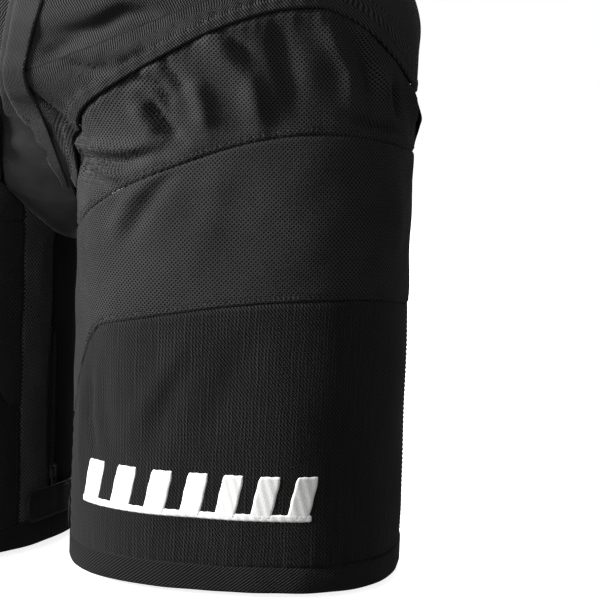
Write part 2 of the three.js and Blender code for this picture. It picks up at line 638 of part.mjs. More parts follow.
function addLegPanels(half, side) {
  const front = { from: INNER_FRONT_ANGLE, to: OUTER_BACK_ANGLE };
  const seam = (edge) => (angle) => edge(angle) + SEAM_GAP;
  addMesh(half, `${side}_thigh_panel`, panel({
    ...front, bottom: aboveHemBand, top: thighPanelTop,
  }), 'twill');
  addMesh(half, `${side}_middle_mesh_panel`, panel({
    ...front, bottom: seam(thighPanelTop), top: flexBottom,
  }), 'mesh');
  addMesh(half, `${side}_upper_mesh_panel`, panel({
    from: INNER_FRONT_ANGLE, to: ARC_FOOT_OUT, bottom: seam(flexBottom), top: legTop, rowHeight: 30,
  }), 'mesh');
  addMesh(half, `${side}_stretch_panel`, panel({
    from: ARC_FOOT_OUT, to: INNER_BACK_ANGLE, bottom: seam(flexBottom), top: legTop, rowHeight: 30,
  }), 'mesh');
  addMesh(half, `${side}_back_thigh_panel`, panel({
    from: OUTER_BACK_ANGLE, to: INNER_BACK_ANGLE, bottom: aboveHemBand, top: flexBottom,
  }), 'twill');
  addMesh(half, `${side}_inner_panel_front`, panel({
    from: ZIP_ANGLE, to: INNER_FRONT_ANGLE + 360, bottom: aboveHemBand, top: legTop,
  }), 'mesh');
  const roomToSwing = (angle) => BACK_SWING_ROOM * smoothStep(272, 248, angle);
  addMesh(half, `${side}_inner_panel_back`, panel({
    from: INNER_BACK_ANGLE,
    to: ZIP_ANGLE,
    bottom: aboveHemBand,
    top: (angle) => legTop(angle) - roomToSwing(angle),
  }), 'twill');
  addMesh(half, `${side}_hem_band`, panel({
    from: ZIP_ANGLE - 360,
    to: ZIP_ANGLE,
    bottom: () => 0,
    top: () => HEM_BAND_HEIGHT,
    inset: -HEM_BAND_PROUD,
    thickness: HEM_BAND_THICKNESS,
    rowHeight: HEM_BAND_HEIGHT,
  }), 'twill');
  addMesh(half, `${side}_hem_tab`, panel({
    from: TAB_SPAN[0],
    to: TAB_SPAN[1],
    bottom: () => TAB_BOTTOM,
    top: () => TAB_BOTTOM + TAB_HEIGHT,
    inset: -(HEM_BAND_PROUD + LAYER_GAP + FABRIC),
    rowHeight: TAB_HEIGHT,
  }), 'satin');
}

function addLegPads(half, side) {
  const guardInset = FABRIC + LAYER_GAP;
  addMesh(half, `${side}_thigh_guard`, panel({
    from: GUARD_SPAN[0],
    to: GUARD_SPAN[1],
    bottom: () => GUARD_BOTTOM,
    top: () => GUARD_TOP,
    inset: guardInset,
    thickness: GUARD_THICKNESS,
  }), 'shell');
  addMesh(half, `${side}_thigh_pad`, panel({
    from: GUARD_SPAN[0] - ANGLE_STEP,
    to: GUARD_SPAN[1] + ANGLE_STEP,
    bottom: () => GUARD_BOTTOM - PAD_MARGIN,
    top: () => GUARD_TOP + PAD_MARGIN,
    inset: guardInset + GUARD_THICKNESS + LAYER_GAP,
    thickness: PAD_THICKNESS,
  }), 'foam');
}

// The zip lies flat against the inner leg. Its own frame has x across the
// chain, y up it and z out of the leg.
function addZip(half, side) {
  const seat = surfacePoint(ZIP_ANGLE, ZIP_BOTTOM);
  const behind = surfacePoint(ZIP_ANGLE - 2, ZIP_BOTTOM);
  const along = surfacePoint(ZIP_ANGLE + 2, ZIP_BOTTOM).sub(behind).normalize();
  const up = new THREE.Vector3(0, 0, 1);
  const outward = along.clone().cross(up);
  const frame = new THREE.Group();
  frame.quaternion.setFromRotationMatrix(new THREE.Matrix4().makeBasis(along, up, outward));
  frame.position.copy(seat).addScaledVector(outward, LAYER_GAP);
  half.add(frame);
  addStringer(frame, `${side}_zip_stringer_front`, 1, 0);
  addStringer(frame, `${side}_zip_stringer_back`, -1, 1);
  addSlider(frame, side);
}

// One half of the chain: its tape, and teeth that mesh with the other half's.
function addStringer(frame, name, direction, offset) {
  const count = Math.floor(ZIP_LENGTH / TOOTH_PITCH) - 1;
  const toothHeight = TOOTH_PITCH / 2 - 2 * RUNNING_GAP * 0.6;
  const outline = new THREE.Shape();
  outline.moveTo(direction * TAPE_WIDTH, 0);
  outline.lineTo(direction * TAPE_WIDTH, ZIP_LENGTH);
  outline.lineTo(direction * TOOTH_REACH, ZIP_LENGTH);
  for (let i = count - 1; i >= 0; i -= 1) {
    const middle = (i + 1) * TOOTH_PITCH + (offset * TOOTH_PITCH) / 2;
    outline.lineTo(direction * TOOTH_REACH, middle + toothHeight / 2);
    outline.lineTo(-direction * (TOOTH_REACH - RUNNING_GAP), middle + toothHeight / 2);
    outline.lineTo(-direction * (TOOTH_REACH - RUNNING_GAP), middle - toothHeight / 2);
    outline.lineTo(direction * TOOTH_REACH, middle - toothHeight / 2);
  }
  outline.lineTo(direction * TOOTH_REACH, 0);
  const chain = new THREE.ExtrudeGeometry(outline, { depth: TAPE_THICKNESS, bevelEnabled: false });
  addMesh(frame, name, chain, 'zip');
}

// The slider straddles the chain and rests at its lower, closed end; the pull
// hangs from the bar under the slider's bridge.
function addSlider(frame, side) {
  const plateBottom = TAPE_THICKNESS + RUNNING_GAP;
  const plateTop = plateBottom + SLIDER_WALL;
  const halfWidth = TOOTH_REACH + SLIDER_OVERHANG;
  const middle = SLIDER_LENGTH / 2;
  const plateMiddle = (plateBottom + plateTop) / 2;
  const plate = solidOf(box(2 * halfWidth, SLIDER_LENGTH, SLIDER_WALL, 0, middle, plateMiddle));
  const bridge = solidOf(box(BRIDGE_WIDTH, BRIDGE_LENGTH, BRIDGE_HEIGHT, 0, middle,
    plateTop + BRIDGE_HEIGHT / 2 - 0.05));
  const windowHeight = BRIDGE_HEIGHT - BRIDGE_WALL;
  const window = solidOf(box(2 * BRIDGE_WIDTH, BRIDGE_LENGTH - 3, windowHeight, 0, middle,
    plateTop + windowHeight / 2 - 0.02));
  addMesh(frame, `${side}_zip_slider`, geometryOf(plate.add(bridge.subtract(window))), 'plastic');

  const barLevel = plateTop + PULL_THICKNESS / 2 + RUNNING_GAP + 0.1;
  const pullTop = middle + PULL_TOP;
  const blade = solidOf(box(PULL_WIDTH, PULL_LENGTH, PULL_THICKNESS, 0, pullTop - PULL_LENGTH / 2, barLevel));
  const eye = solidOf(box(PULL_EYE[0], PULL_EYE[1], 3 * PULL_THICKNESS, 0,
    pullTop - PULL_TOP - PULL_EYE[1] / 2, barLevel));
  addMesh(frame, `${side}_zip_pull`, geometryOf(blade.subtract(eye)), 'plastic');
}

// Leaning bars on a base line, all in one piece.
function addMark(half, side) {
  const inset = -(LAYER_GAP + MARK_THICKNESS);
  const pitch = (MARK_SPAN[1] - MARK_SPAN[0]) / MARK_BARS;
  let mark = solidOf(panel({
    from: MARK_SPAN[0],
    to: MARK_SPAN[1],
    bottom: () => MARK_BOTTOM,
    top: () => MARK_BOTTOM + MARK_LINE,
    inset,
    thickness: MARK_THICKNESS,
    rowHeight: MARK_HEIGHT,
  }));
  for (let i = 0; i < MARK_BARS; i += 1) {
    const start = MARK_SPAN[0] + i * pitch + 0.5;
    const width = pitch * 0.62;
    const bar = mappedBox(2, 2, (u, v, w) => surfacePoint(
      start + u * width + v * MARK_LEAN,
      MARK_BOTTOM + 1 + v * (MARK_HEIGHT - 1),
      inset + MARK_THICKNESS * (1 - w),
    ));
    mark = mark.add(solidOf(bar));
  }
  addMesh(half, `${side}_thigh_mark`, geometryOf(mark), 'thread');
}

// A leg is grouped on the axis that it swings about.
function legGroup(half) {
  const pivot = new THREE.Vector3(0, PIVOT_Y, CROTCH_HEIGHT + PIVOT_RISE);
  const axis = new THREE.Group();
  const leg = new THREE.Group();
  axis.position.copy(pivot);
  leg.position.copy(pivot).negate();
  axis.add(leg);
  half.add(axis);
  return leg;
}

addTrunkMiddle();
addBelt();
for (const [half, side] of [[leftHalf, 'left'], [rightHalf, 'right']]) {
  addTrunkHalf(half, side);
  addBeltLoop(half, side);
  for (const [place, distance] of Object.entries(BUTTON_PLACES)) addBraceButton(half, side, place, distance);
  const leg = legGroup(half);
  addLegPanels(leg, side);
  addLegPads(leg, side);
  addZip(leg, side);
  if (side === 'left') addMark(leg, side);
}

export default pants;
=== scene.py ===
"""Ice hockey pants: fabric panels, pads, zips and belt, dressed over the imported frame.

Lengths are millimetres until a mesh is made, and metres from then on. Heights
are measured up from the hem; the frame's origin is the middle of the waist
opening, which is LENGTH above it. Angles go round the left leg's middle line,
from the front (0) through the outside (90) to the back (180).
"""

import math

import bpy
import numpy as np
from mathutils import Matrix, Vector


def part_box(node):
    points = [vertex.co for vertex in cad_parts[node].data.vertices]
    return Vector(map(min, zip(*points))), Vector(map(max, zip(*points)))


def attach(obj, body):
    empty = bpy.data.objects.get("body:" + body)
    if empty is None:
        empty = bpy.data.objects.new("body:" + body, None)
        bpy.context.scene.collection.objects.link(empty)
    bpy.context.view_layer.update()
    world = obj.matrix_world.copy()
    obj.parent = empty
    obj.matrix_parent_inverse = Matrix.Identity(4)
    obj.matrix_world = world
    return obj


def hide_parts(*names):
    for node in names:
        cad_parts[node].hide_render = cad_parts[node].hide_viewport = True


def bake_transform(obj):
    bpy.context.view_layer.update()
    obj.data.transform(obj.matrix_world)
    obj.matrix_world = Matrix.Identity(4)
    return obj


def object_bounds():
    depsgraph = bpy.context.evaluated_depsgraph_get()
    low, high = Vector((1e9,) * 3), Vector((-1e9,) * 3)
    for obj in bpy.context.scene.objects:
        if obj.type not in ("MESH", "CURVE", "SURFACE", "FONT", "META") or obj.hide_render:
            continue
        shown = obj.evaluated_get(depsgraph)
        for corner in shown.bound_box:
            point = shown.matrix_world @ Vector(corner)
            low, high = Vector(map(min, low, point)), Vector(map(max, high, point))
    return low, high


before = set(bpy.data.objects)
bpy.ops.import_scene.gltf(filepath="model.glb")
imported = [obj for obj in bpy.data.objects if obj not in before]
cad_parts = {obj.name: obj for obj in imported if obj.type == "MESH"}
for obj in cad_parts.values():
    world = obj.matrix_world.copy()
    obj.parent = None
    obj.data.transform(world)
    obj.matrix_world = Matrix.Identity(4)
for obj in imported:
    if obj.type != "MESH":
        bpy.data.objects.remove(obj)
cad_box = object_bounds()

# The garment's surface.
LENGTH = 565.0
CROTCH = 272.0
LEG_CENTRE = 138.0
LEG_HALF_GAP = 11.0
TOE_OUT = 10.0
SIDE = ((0, 264), (272, 262), (405, 262), (565, 205))
FRONT = ((0, 116), (330, 122), (430, 138), (565, 132))
BACK = ((0, 114), (330, 128), (430, 150), (565, 135))
MM_PER_DEGREE = 2.2  # along the surface, near enough for placing folds
INNER_FRONT, OUTER_BACK, INNER_BACK, ZIP_ANGLE = -63.0, 108.0, 234.0, 279.0
ARC_IN, ARC_PEAK, ARC_OUT, SIDE_SEAM = -54.0, 38.0, 102.0, 117.0
ARC_HEIGHT, ARC_DROP, ARC_SIDE, SEAM_BACK = 428.0, 106.0, 366.0, 322.0
SEAM_LOW, SEAM_LOW_AT = 246.0, -90.0  # lowest point of the seam between leg and gusset
# Where that seam leaves the arc and meets the gusset (angles), the height there, and its curve.
SEAM_FEET = {"left": (-50.0, -60.0, 286.0, 3.4), "right": (-47.0, -52.0, 290.0, 1.85)}
FLEX_HEIGHT, FLEX_PEAK, FLEX_DROP = 338.0, 44.0, 80.0
THIGH_HEIGHT, THIGH_PEAK, THIGH_DROP, THIGH_CORNER = 218.0, 50.0, 44.0, 62.0
HEM_HEIGHT = 20.0
BAND_BOTTOM = 520.0
BODIES = {"left": "left_leg", "right": "right_leg"}
UP, FORWARD = np.array((0.0, 0.0, 1.0)), np.array((0.0, -1.0, 0.0))

# ---- Small helpers ----


def unit(vectors):
    return vectors / np.maximum(np.linalg.norm(vectors, axis=-1, keepdims=True), 1e-9)


def outward(grid):
    """Unit normals of a grid of points."""
    return unit(np.cross(np.gradient(grid, axis=1), np.gradient(grid, axis=0)))


def lengths_along(points):
    """The distance along a path at each of its points."""
    return np.concatenate([[0], np.cumsum(np.linalg.norm(np.diff(points, axis=0), axis=1))])


def at_lengths(places, along, values):
    """A path's points, or other vectors, at given distances along it."""
    return np.stack([np.interp(places, along, values[:, k]) for k in range(3)], -1)


def box_mm(node):
    """The lowest and highest corner of a CAD node, in millimetres."""
    low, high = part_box(node)
    return np.array(low) * 1000, np.array(high) * 1000


def level(height):
    """A panel's edge at one height, as a function of the angle."""
    return lambda degrees: height + 0 * degrees


# ---- Surface functions ----


def smooth(low, high, value):
    """0 below low, 1 above high, and a smooth step between; low may be the larger one."""
    t = np.clip((np.asarray(value, float) - low) / (high - low), 0, 1)
    return t * t * (3 - 2 * t)


def eased(stations, height):
    """A measure that eases from one (height, value) station to the next."""
    value = np.full(np.shape(height), float(stations[0][1]))
    for (h0, v0), (h1, v1) in zip(stations, stations[1:]):
        value = value + (v1 - v0) * smooth(h0, h1, height)
    return value


def leg_radius(angle, height):
    """Distance from the leg's middle line to its surface: a rounded box, toed out."""
    turned = angle - math.radians(TOE_OUT)
    across, along = np.sin(turned), np.cos(turned)
    wide = np.where(across > 0, eased(SIDE, height) - LEG_CENTRE, LEG_CENTRE - LEG_HALF_GAP)
    deep = np.where(along > 0, eased(FRONT, height), eased(BACK, height))
    return ((np.abs(across) / wide) ** 2.6 + (np.abs(along) / deep) ** 2.6) ** (-1 / 2.6)


def trunk_radius(angle, height):
    """Distance from the leg's middle line to the trunk, cut off at the middle plane."""
    across, along = np.sin(angle), np.cos(angle)
    wide = eased(SIDE, height)
    deep = np.where(along > 0, eased(FRONT, height), eased(BACK, height)) * 1.03
    low, high = np.zeros(np.shape(wide + across)), 2 * wide + 0 * across
    for _ in range(36):
        middle = (low + high) / 2
        total = (np.abs(LEG_CENTRE + middle * across) / wide) ** 2.3
        total = total + (middle * np.abs(along) / deep) ** 2.3
        low = np.where(total < 1, middle, low)
        high = np.where(total < 1, high, middle)
    to_plane = np.where(across < -1e-3, LEG_CENTRE / np.maximum(-across, 1e-3), 1e9)
    return np.minimum(low, to_plane)


def surface(degrees, height, inset=0.0):
    """Points of the garment's outer surface, z measured up from the hem."""
    degrees, height = np.broadcast_arrays(np.asarray(degrees, float), np.asarray(height, float))
    angle = np.radians(degrees)
    across, along = np.sin(angle), np.cos(angle)
    inward = np.clip(-across * 1.2, 0, 1)
    at_plane = np.where(across < 0, np.abs(LEG_CENTRE * along / np.maximum(-across, 1e-3)), 0)
    # The trunk opens into the legs lowest under the crotch, and higher towards the front and back.
    saddle = CROTCH + 100 * np.minimum(at_plane / 122, 1) ** 1.6
    saddle = np.where(across < 0, saddle, 0)
    outer = smooth(CROTCH - 22, CROTCH + 148, height)
    inner = smooth(0, 1, (height - (saddle - 45)) / 50)
    blend = outer * (1 - inward) + inner * inward
    radius = leg_radius(angle, height) * (1 - blend) + trunk_radius(angle, height) * blend - inset
    return np.stack([LEG_CENTRE + radius * across, -radius * along, height], -1)


def normals(degrees, height):
    du = surface(degrees + 0.5, height) - surface(degrees - 0.5, height)
    dv = surface(degrees, height + 1.5) - surface(degrees, height - 1.5)
    return unit(np.cross(du, dv))


def quarter_fall(drop, peak, foot, degrees):
    """A fall in height from an edge's peak to its foot, along a quarter of a cosine."""
    t = np.clip((degrees - peak) / (foot - peak), 0, 1)
    return drop * (1 - np.cos(t * math.pi / 2))


def leg_top(degrees, side="left"):
    """Height of the seam between leg and trunk; beside the gusset it lies unevenly left and right."""
    degrees = np.asarray(degrees, float)
    angle = np.where(degrees > INNER_BACK, degrees - 360, degrees)
    start, end, foot, curve = SEAM_FEET[side]
    rise = ARC_HEIGHT - quarter_fall(ARC_DROP, ARC_PEAK, ARC_IN, angle)
    fall = ARC_HEIGHT - (ARC_HEIGHT - ARC_SIDE) * smooth(ARC_PEAK, ARC_OUT, angle)
    back = ARC_SIDE - (ARC_SIDE - SEAM_BACK) * smooth(ARC_OUT, INNER_BACK, angle)
    to_front = np.clip((angle - SEAM_LOW_AT) / (end - SEAM_LOW_AT), 0, 1)
    to_back = np.clip((SEAM_LOW_AT - angle) / (SEAM_LOW_AT + 360 - INNER_BACK), 0, 1)
    before = SEAM_LOW + (foot - SEAM_LOW) * to_front**curve
    behind = SEAM_LOW + (SEAM_BACK - SEAM_LOW) * to_back**1.6
    under = np.where(angle < SEAM_LOW_AT, behind, before)
    inner = rise + (under - rise) * smooth(start, end, angle)
    return np.where(angle <= ARC_PEAK, inner, np.where(angle <= ARC_OUT, fall, back))


def flex_bottom(degrees):
    """Height of the seam under the flex mesh."""
    degrees = np.asarray(degrees, float)
    rise = FLEX_HEIGHT - quarter_fall(FLEX_DROP, FLEX_PEAK, INNER_FRONT + 7, degrees)
    fall = 16 * smooth(FLEX_PEAK, ARC_OUT, degrees) + 64 * smooth(ARC_OUT, INNER_BACK, degrees)
    return np.where(degrees <= FLEX_PEAK, rise, FLEX_HEIGHT - fall)


def thigh_top(degrees):
    """Height of the top of the woven thigh panel."""
    degrees = np.asarray(degrees, float)
    rise = THIGH_HEIGHT - quarter_fall(THIGH_DROP, THIGH_PEAK, INNER_FRONT, degrees)
    rise = rise - THIGH_CORNER * smooth(-32, -58, degrees) ** 1.6
    fall = THIGH_HEIGHT - 14 * smooth(THIGH_PEAK, OUTER_BACK, degrees)
    return np.where(degrees > THIGH_PEAK, fall, rise)


# ---- Folds ----
# Each fold: points as (angle, height), half width, and depth (negative for a valley).

UPPER_FOLDS = (
    (((-6, 406), (5, 396), (15, 376), (19, 352), (21, 336)), 8, 3.4),
    (((1, 411), (7, 407), (13, 397), (17, 386)), 3.2, -2.0),
    (((23, 424), (26, 398), (30, 370), (33, 346)), 8, -2.8),
    (((-19, 360), (-16, 350), (-12, 340), (-7, 331)), 4.5, -5.0),
    (((-24, 356), (-20, 344), (-15, 330)), 5, 3.0),
    (((-5, 378), (-2, 362), (1, 336)), 7, 3.2),
    (((-15, 393), (-12, 384), (-9, 374), (-5, 362)), 3.2, -2.2),
    (((-25, 368), (-21, 374), (-15, 369), (-12, 360), (-11, 350)), 3.4, -2.6),
    (((-56, 313), (-40, 311), (-28, 312), (-14, 322)), 4.5, -4.2),
    (((-56, 322), (-40, 320), (-24, 322), (-14, 329)), 4.5, 3.4),
    (((-56, 306), (-44, 300), (-34, 295)), 4.5, -3.6),
    (((-42, 312), (-33, 304), (-26, 300)), 4, 3.0),
    (((39, 418), (45, 402), (50, 384), (52, 358)), 6, 2.6),
    (((48, 417), (56, 400), (60, 380), (60, 360)), 6, -3.0),
    (((50, 351), (62, 343), (78, 337)), 4.5, -3.0),
    (((62, 392), (66, 372), (68, 360)), 5, 2.6),
    (((72, 380), (74, 362), (76, 346)), 5, -3.0),
    (((84, 372), (88, 356), (90, 340)), 6, 2.4),
)
FRONT_FOLDS = (
    (((-40, 400), (-33, 405), (-29, 408), (-22, 421), (-17, 421), (-9, 412)), 5, -3.4),
    (((-40, 412), (-30, 420), (-20, 432), (-8, 428)), 8, 2.2),
    (((-38, 386), (-33, 379), (-27, 375)), 4.5, -2.2),
    (((-41, 384), (-38, 392), (-33, 400)), 4.5, -2.4),
    (((-34, 390), (-26, 392), (-18, 398)), 7, 2.0),
    (((14, 470), (40, 462), (66, 466)), 16, -1.6),
    (((60, 450), (84, 470), (104, 500)), 12, -1.6),
)
MIDDLE_FOLDS = (
    (((-8, 314), (-14, 296), (-20, 276), (-26, 252)), 6.5, -2.2),
    (((-18, 302), (-25, 282), (-31, 256)), 7, 2.2),
    (((9, 320), (5, 288), (0, 250)), 13, 1.5),
    (((70, 318), (74, 280), (76, 240)), 14, 1.2),
)
THIGH_FOLDS = (
    (((-40, 160), (-41, 120), (-37, 86)), 3.6, -2.2),
    (((-33, 166), (-34, 134), (-31, 100)), 6, -1.3),
    (((-46, 150), (-47, 100), (-45, 60)), 5, 1.4),
    (((-2, 192), (-14, 146), (-24, 112)), 9, 1.3),
    (((-4, 168), (-12, 128), (-16, 96)), 9, -1.2),
    (((24, 206), (10, 150), (0, 104)), 14, -1.0),
    (((50, 120), (56, 70), (60, 34)), 9, -0.9),
    (((-30, 50), (-10, 44), (10, 48)), 8, -0.8),
)
STRETCH_FOLDS = (
    (((104, 352), (118, 338), (134, 330)), 7, 2.0),
    (((108, 338), (126, 322), (150, 312)), 6, -2.4),
    (((140, 346), (170, 332), (206, 312)), 7, -2.4),
    (((150, 330), (180, 314), (210, 298)), 7, 2.2),
)
SEAT_FOLDS = (
    (((132, 398), (160, 386), (196, 380)), 9, -2.4),
    (((150, 430), (176, 424), (200, 430)), 16, 2.2),
    (((126, 440), (140, 470), (150, 500)), 12, -1.6),
)
BACK_FOLDS = (
    (((122, 290), (130, 240), (128, 180)), 10, -1.8),
    (((160, 280), (166, 200), (160, 120)), 14, 1.5),
    (((200, 270), (206, 190), (198, 110)), 10, -1.8),
    (((140, 90), (170, 84), (200, 92)), 10, -1.3),
)
INNER_FOLDS = (
    (((284, 250), (289, 220), (287, 190)), 5, 1.2),
    (((245, 240), (255, 180), (250, 110)), 8, -1.6),
)


def fold_relief(degrees, height, folds):
    """Rise of the cloth, in mm, made by a list of folds that fade at both ends."""
    total = np.zeros(np.shape(degrees))
    spot = np.stack([degrees * MM_PER_DEGREE, height], -1)
    for points, width, depth in folds:
        line = np.array(points, float) * (MM_PER_DEGREE, 1)
        starts = lengths_along(line)
        lengths = np.diff(starts)
        best, share = np.full(np.shape(degrees), 1e9), np.zeros(np.shape(degrees))
        for a, b, size, start in zip(line, line[1:], lengths, starts):
            t = np.clip(((spot - a) @ (b - a)) / size**2, 0, 1)
            gap = np.linalg.norm(spot - (a + t[..., None] * (b - a)), axis=-1)
            share = np.where(gap < best, (start + t * size) / starts[-1], share)
            best = np.minimum(best, gap)
        fade = 0.25 + 0.75 * smooth(0, 0.3, share) * smooth(1, 0.7, share)
        total = total + depth * np.exp(-((best / width) ** 2)) * fade
    return total


def ripples(s, h, size, seed):
    """Smooth unevenness between about -1 and 1, the same on every run."""
    total = 0
    for i in range(5):
        turn = seed * 1.7 + i * 2.4
        wave = 2 * math.pi / (size * (0.7 + 0.22 * i))
        total = total + np.sin(wave * (s * math.cos(turn) + h * math.sin(turn)) + seed * 3.1 + i)
    return total / 3.2


# ---- Meshes ----


class Shape:
    """Collects the quads of one piece, with its weave coordinates and material slots."""

    def __init__(self):
        self.points, self.quads, self.weave, self.slots, self.smooth = [], [], [], [], []
        self.count = 0

    def add(self, points, quads, weave=None, slot=0):
        points = np.asarray(points, float).reshape(-1, 3)
        quads = np.asarray(quads, np.int64).reshape(-1, 4)
        if weave is None:
            weave = points
        self.points.append(points)
        self.quads.append(quads + self.count)
        self.weave.append(np.asarray(weave, float).reshape(-1, 3))
        self.slots.append(np.full(len(quads), slot, np.int32))
        self.smooth.append(np.ones(len(quads), bool))
        self.count += len(points)

    def sheet(self, outer, thickness, weave, slot=0, crisp=False):
        """A closed sheet: outer is a grid of points, and the back is thickness behind it."""
        self.slab(outer, outer - outward(outer) * thickness, weave, slot, crisp)

    def slab(self, outer, inner, weave=None, slot=0, crisp=False):
        """A closed slab between two grids; a crisp one has a flat-shaded rim."""
        rows, columns = outer.shape[:2]
        half = rows * columns
        front = grid_quads(rows, columns)
        ring = np.concatenate([
            np.arange(columns), np.arange(2, rows + 1) * columns - 1,
            (rows - 1) * columns + np.arange(columns - 2, -1, -1), np.arange(rows - 2, 0, -1) * columns,
        ])
        after = np.roll(ring, -1)
        rim = np.stack([ring, ring + half, after + half, after], 1)
        both = np.concatenate([outer.reshape(-1, 3), inner.reshape(-1, 3)])
        coords = None if weave is None else np.concatenate([weave.reshape(-1, 3)] * 2)
        self.add(both, np.concatenate([front, front[:, ::-1] + half, rim]), coords, slot)
        if crisp:
            self.smooth[-1][-len(rim):] = False

    def tube(self, path, across, out, profile, slot=0):
        """Sweeps a closed profile of (across, out) pairs along a path, and caps both ends."""
        path, profile = np.asarray(path, float), np.asarray(profile, float)
        if profile.ndim == 2:
            profile = np.broadcast_to(profile, (len(path),) + profile.shape)
        across, out = (np.broadcast_to(way, path.shape)[:, None] for way in (across, out))
        points = path[:, None] + profile[..., :1] * across + profile[..., 1:] * out
        rows, columns = points.shape[:2]
        quads = grid_quads(rows, columns, wrap=True)
        weave = np.zeros(points.shape)
        weave[..., 0], weave[..., 1] = lengths_along(profile[0])[None], lengths_along(path)[:, None]
        quads = np.concatenate([quads, self.cap(columns, 0)[:, ::-1], self.cap(columns, rows - 1)])
        self.add(points, quads, weave, slot)

    @staticmethod
    def cap(columns, row):
        """Closes a ring of an even number of points with quads."""
        ring = np.arange(columns) + row * columns
        half = columns // 2
        return np.array([
            [ring[i], ring[i + 1], ring[columns - 2 - i], ring[columns - 1 - i]] for i in range(half - 1)
        ])

    def piece(self, name, finishes, side="left"):
        """Makes the Blender object, in metres; a right one is mirrored."""
        points = np.concatenate(self.points)
        points = (points - (0, 0, LENGTH)) / 1000
        quads = np.concatenate(self.quads)
        if side == "right":
            points = points * (-1, 1, 1)
            quads = quads[:, ::-1]
        mesh = bpy.data.meshes.new(name)
        mesh.vertices.add(len(points))
        mesh.vertices.foreach_set("co", points.astype(np.float32).ravel())
        mesh.loops.add(quads.size)
        mesh.loops.foreach_set("vertex_index", quads.astype(np.int32).ravel())
        mesh.polygons.add(len(quads))
        mesh.polygons.foreach_set("loop_start", np.arange(0, quads.size, 4, dtype=np.int32))
        for finish in finishes:
            mesh.materials.append(MATERIALS[finish])
        mesh.polygons.foreach_set("material_index", np.concatenate(self.slots))
        mesh.update(calc_edges=True)
        weave = mesh.attributes.new("weave", "FLOAT_VECTOR", "POINT")
        weave.data.foreach_set("vector", np.concatenate(self.weave).astype(np.float32).ravel())
        mesh.polygons.foreach_set("use_smooth", np.concatenate(self.smooth))
        mesh.update()
        piece = bpy.data.objects.new(name, mesh)
        bpy.context.scene.collection.objects.link(piece)
        return piece


def declare(piece, node, body):
    """Hides the CAD node that a piece stands for, and hangs the piece on the empty of the body that it
    rides.
    """
    if node:
        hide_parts(node)
    if body:
        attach(piece, body)


def grid_quads(rows, columns, wrap=False):
    """Quads between neighbours of a grid; wrap also joins its last column to its first."""
    r, c = np.meshgrid(np.arange(rows - 1), np.arange(columns if wrap else columns - 1), indexing="ij")
    r, c = r.ravel(), c.ravel()
    d = (c + 1) % columns
    return np.stack([r * columns + c, r * columns + d, (r + 1) * columns + d, (r + 1) * columns + c], 1)


# Distances of a panel's outermost rows from its edge, close together where the cloth turns down.
EDGE_STEPS = np.array([0, 0.5, 1.1, 1.9, 3.0, 4.4, 6.0, 7.6, 9.2, 10.8, 12.6, 15.0])


def stations(length, step):
    """Distances 0..length, close together at both ends."""
    middle = length - 2 * EDGE_STEPS[-1]
    count = max(int(round(middle / step)), 1)
    inner = EDGE_STEPS[-1] + middle * np.arange(1, count) / count
    return np.concatenate([EDGE_STEPS, inner, length - EDGE_STEPS[::-1]])


def plane_angles(distance_at, height_at, start, limit):
    """For each row, the angle where it comes within a distance of the middle plane."""
    angles = np.arange(start, limit, math.copysign(0.25, limit - start))
    ends = []
    for row in height_at(angles):
        beyond = np.flatnonzero(surface(angles, row)[:, 0] <= distance_at(row))
        ends.append(angles[beyond[0]] if len(beyond) else limit)
    return np.array(ends)


def panel_grid(start, end, bottom, top, step=3.0):
    """Angles, heights and distances to the four edges of a panel's grid.

    start and end are angles, or (distance_at, from, limit) for an edge that keeps a
    distance, given as a function of the height, from the middle plane.
    """
    straight = not isinstance(start, tuple) and not isinstance(end, tuple)
    angles = np.linspace(start, end, 9) if straight else np.array([60.0, 100, 170, 250, 285])
    gaps = top(angles) - bottom(angles)
    tall = float(np.mean(gaps) if straight else np.max(gaps))
    rise = stations(tall, step)

    def heights(angles):
        low, high = bottom(angles)[None], top(angles)[None]
        scale = np.minimum((high - low) / tall, 1)
        near_low = low + rise[:, None] * scale
        near_high = high - (tall - rise)[:, None] * scale
        blend = smooth(0.15, 0.85, (rise / tall)[:, None])
        return near_low * (1 - blend) + near_high * blend

    ends = []
    for edge in (start, end):
        if isinstance(edge, tuple):
            ends.append(plane_angles(edge[0], heights, *edge[1:]))
        else:
            ends.append(np.full(len(rise), edge))
    first, last = ends
    wide = float(np.median(last - first)) * MM_PER_DEGREE
    across = stations(wide, step)
    share = across / wide
    degrees = first[:, None] * (1 - share) + last[:, None] * share
    height = np.stack([np.diagonal(heights(column)) for column in degrees.T], 1)
    to_start = (degrees - first[:, None]) * MM_PER_DEGREE
    to_end = (last[:, None] - degrees) * MM_PER_DEGREE
    return degrees, height, height - bottom(degrees), top(degrees) - height, to_start, to_end


def edge_dip(distance, depth, width=1.8):
    """How the cloth turns down towards a sewn edge."""
    return -depth * np.exp(-((distance / width) ** 2))


def stitch_dip(distance, places, depth=0.45, width=0.9):
    """Grooves pressed by rows of stitching at given distances from an edge."""
    return sum(edge_dip(distance - place, depth, width) for place in places)


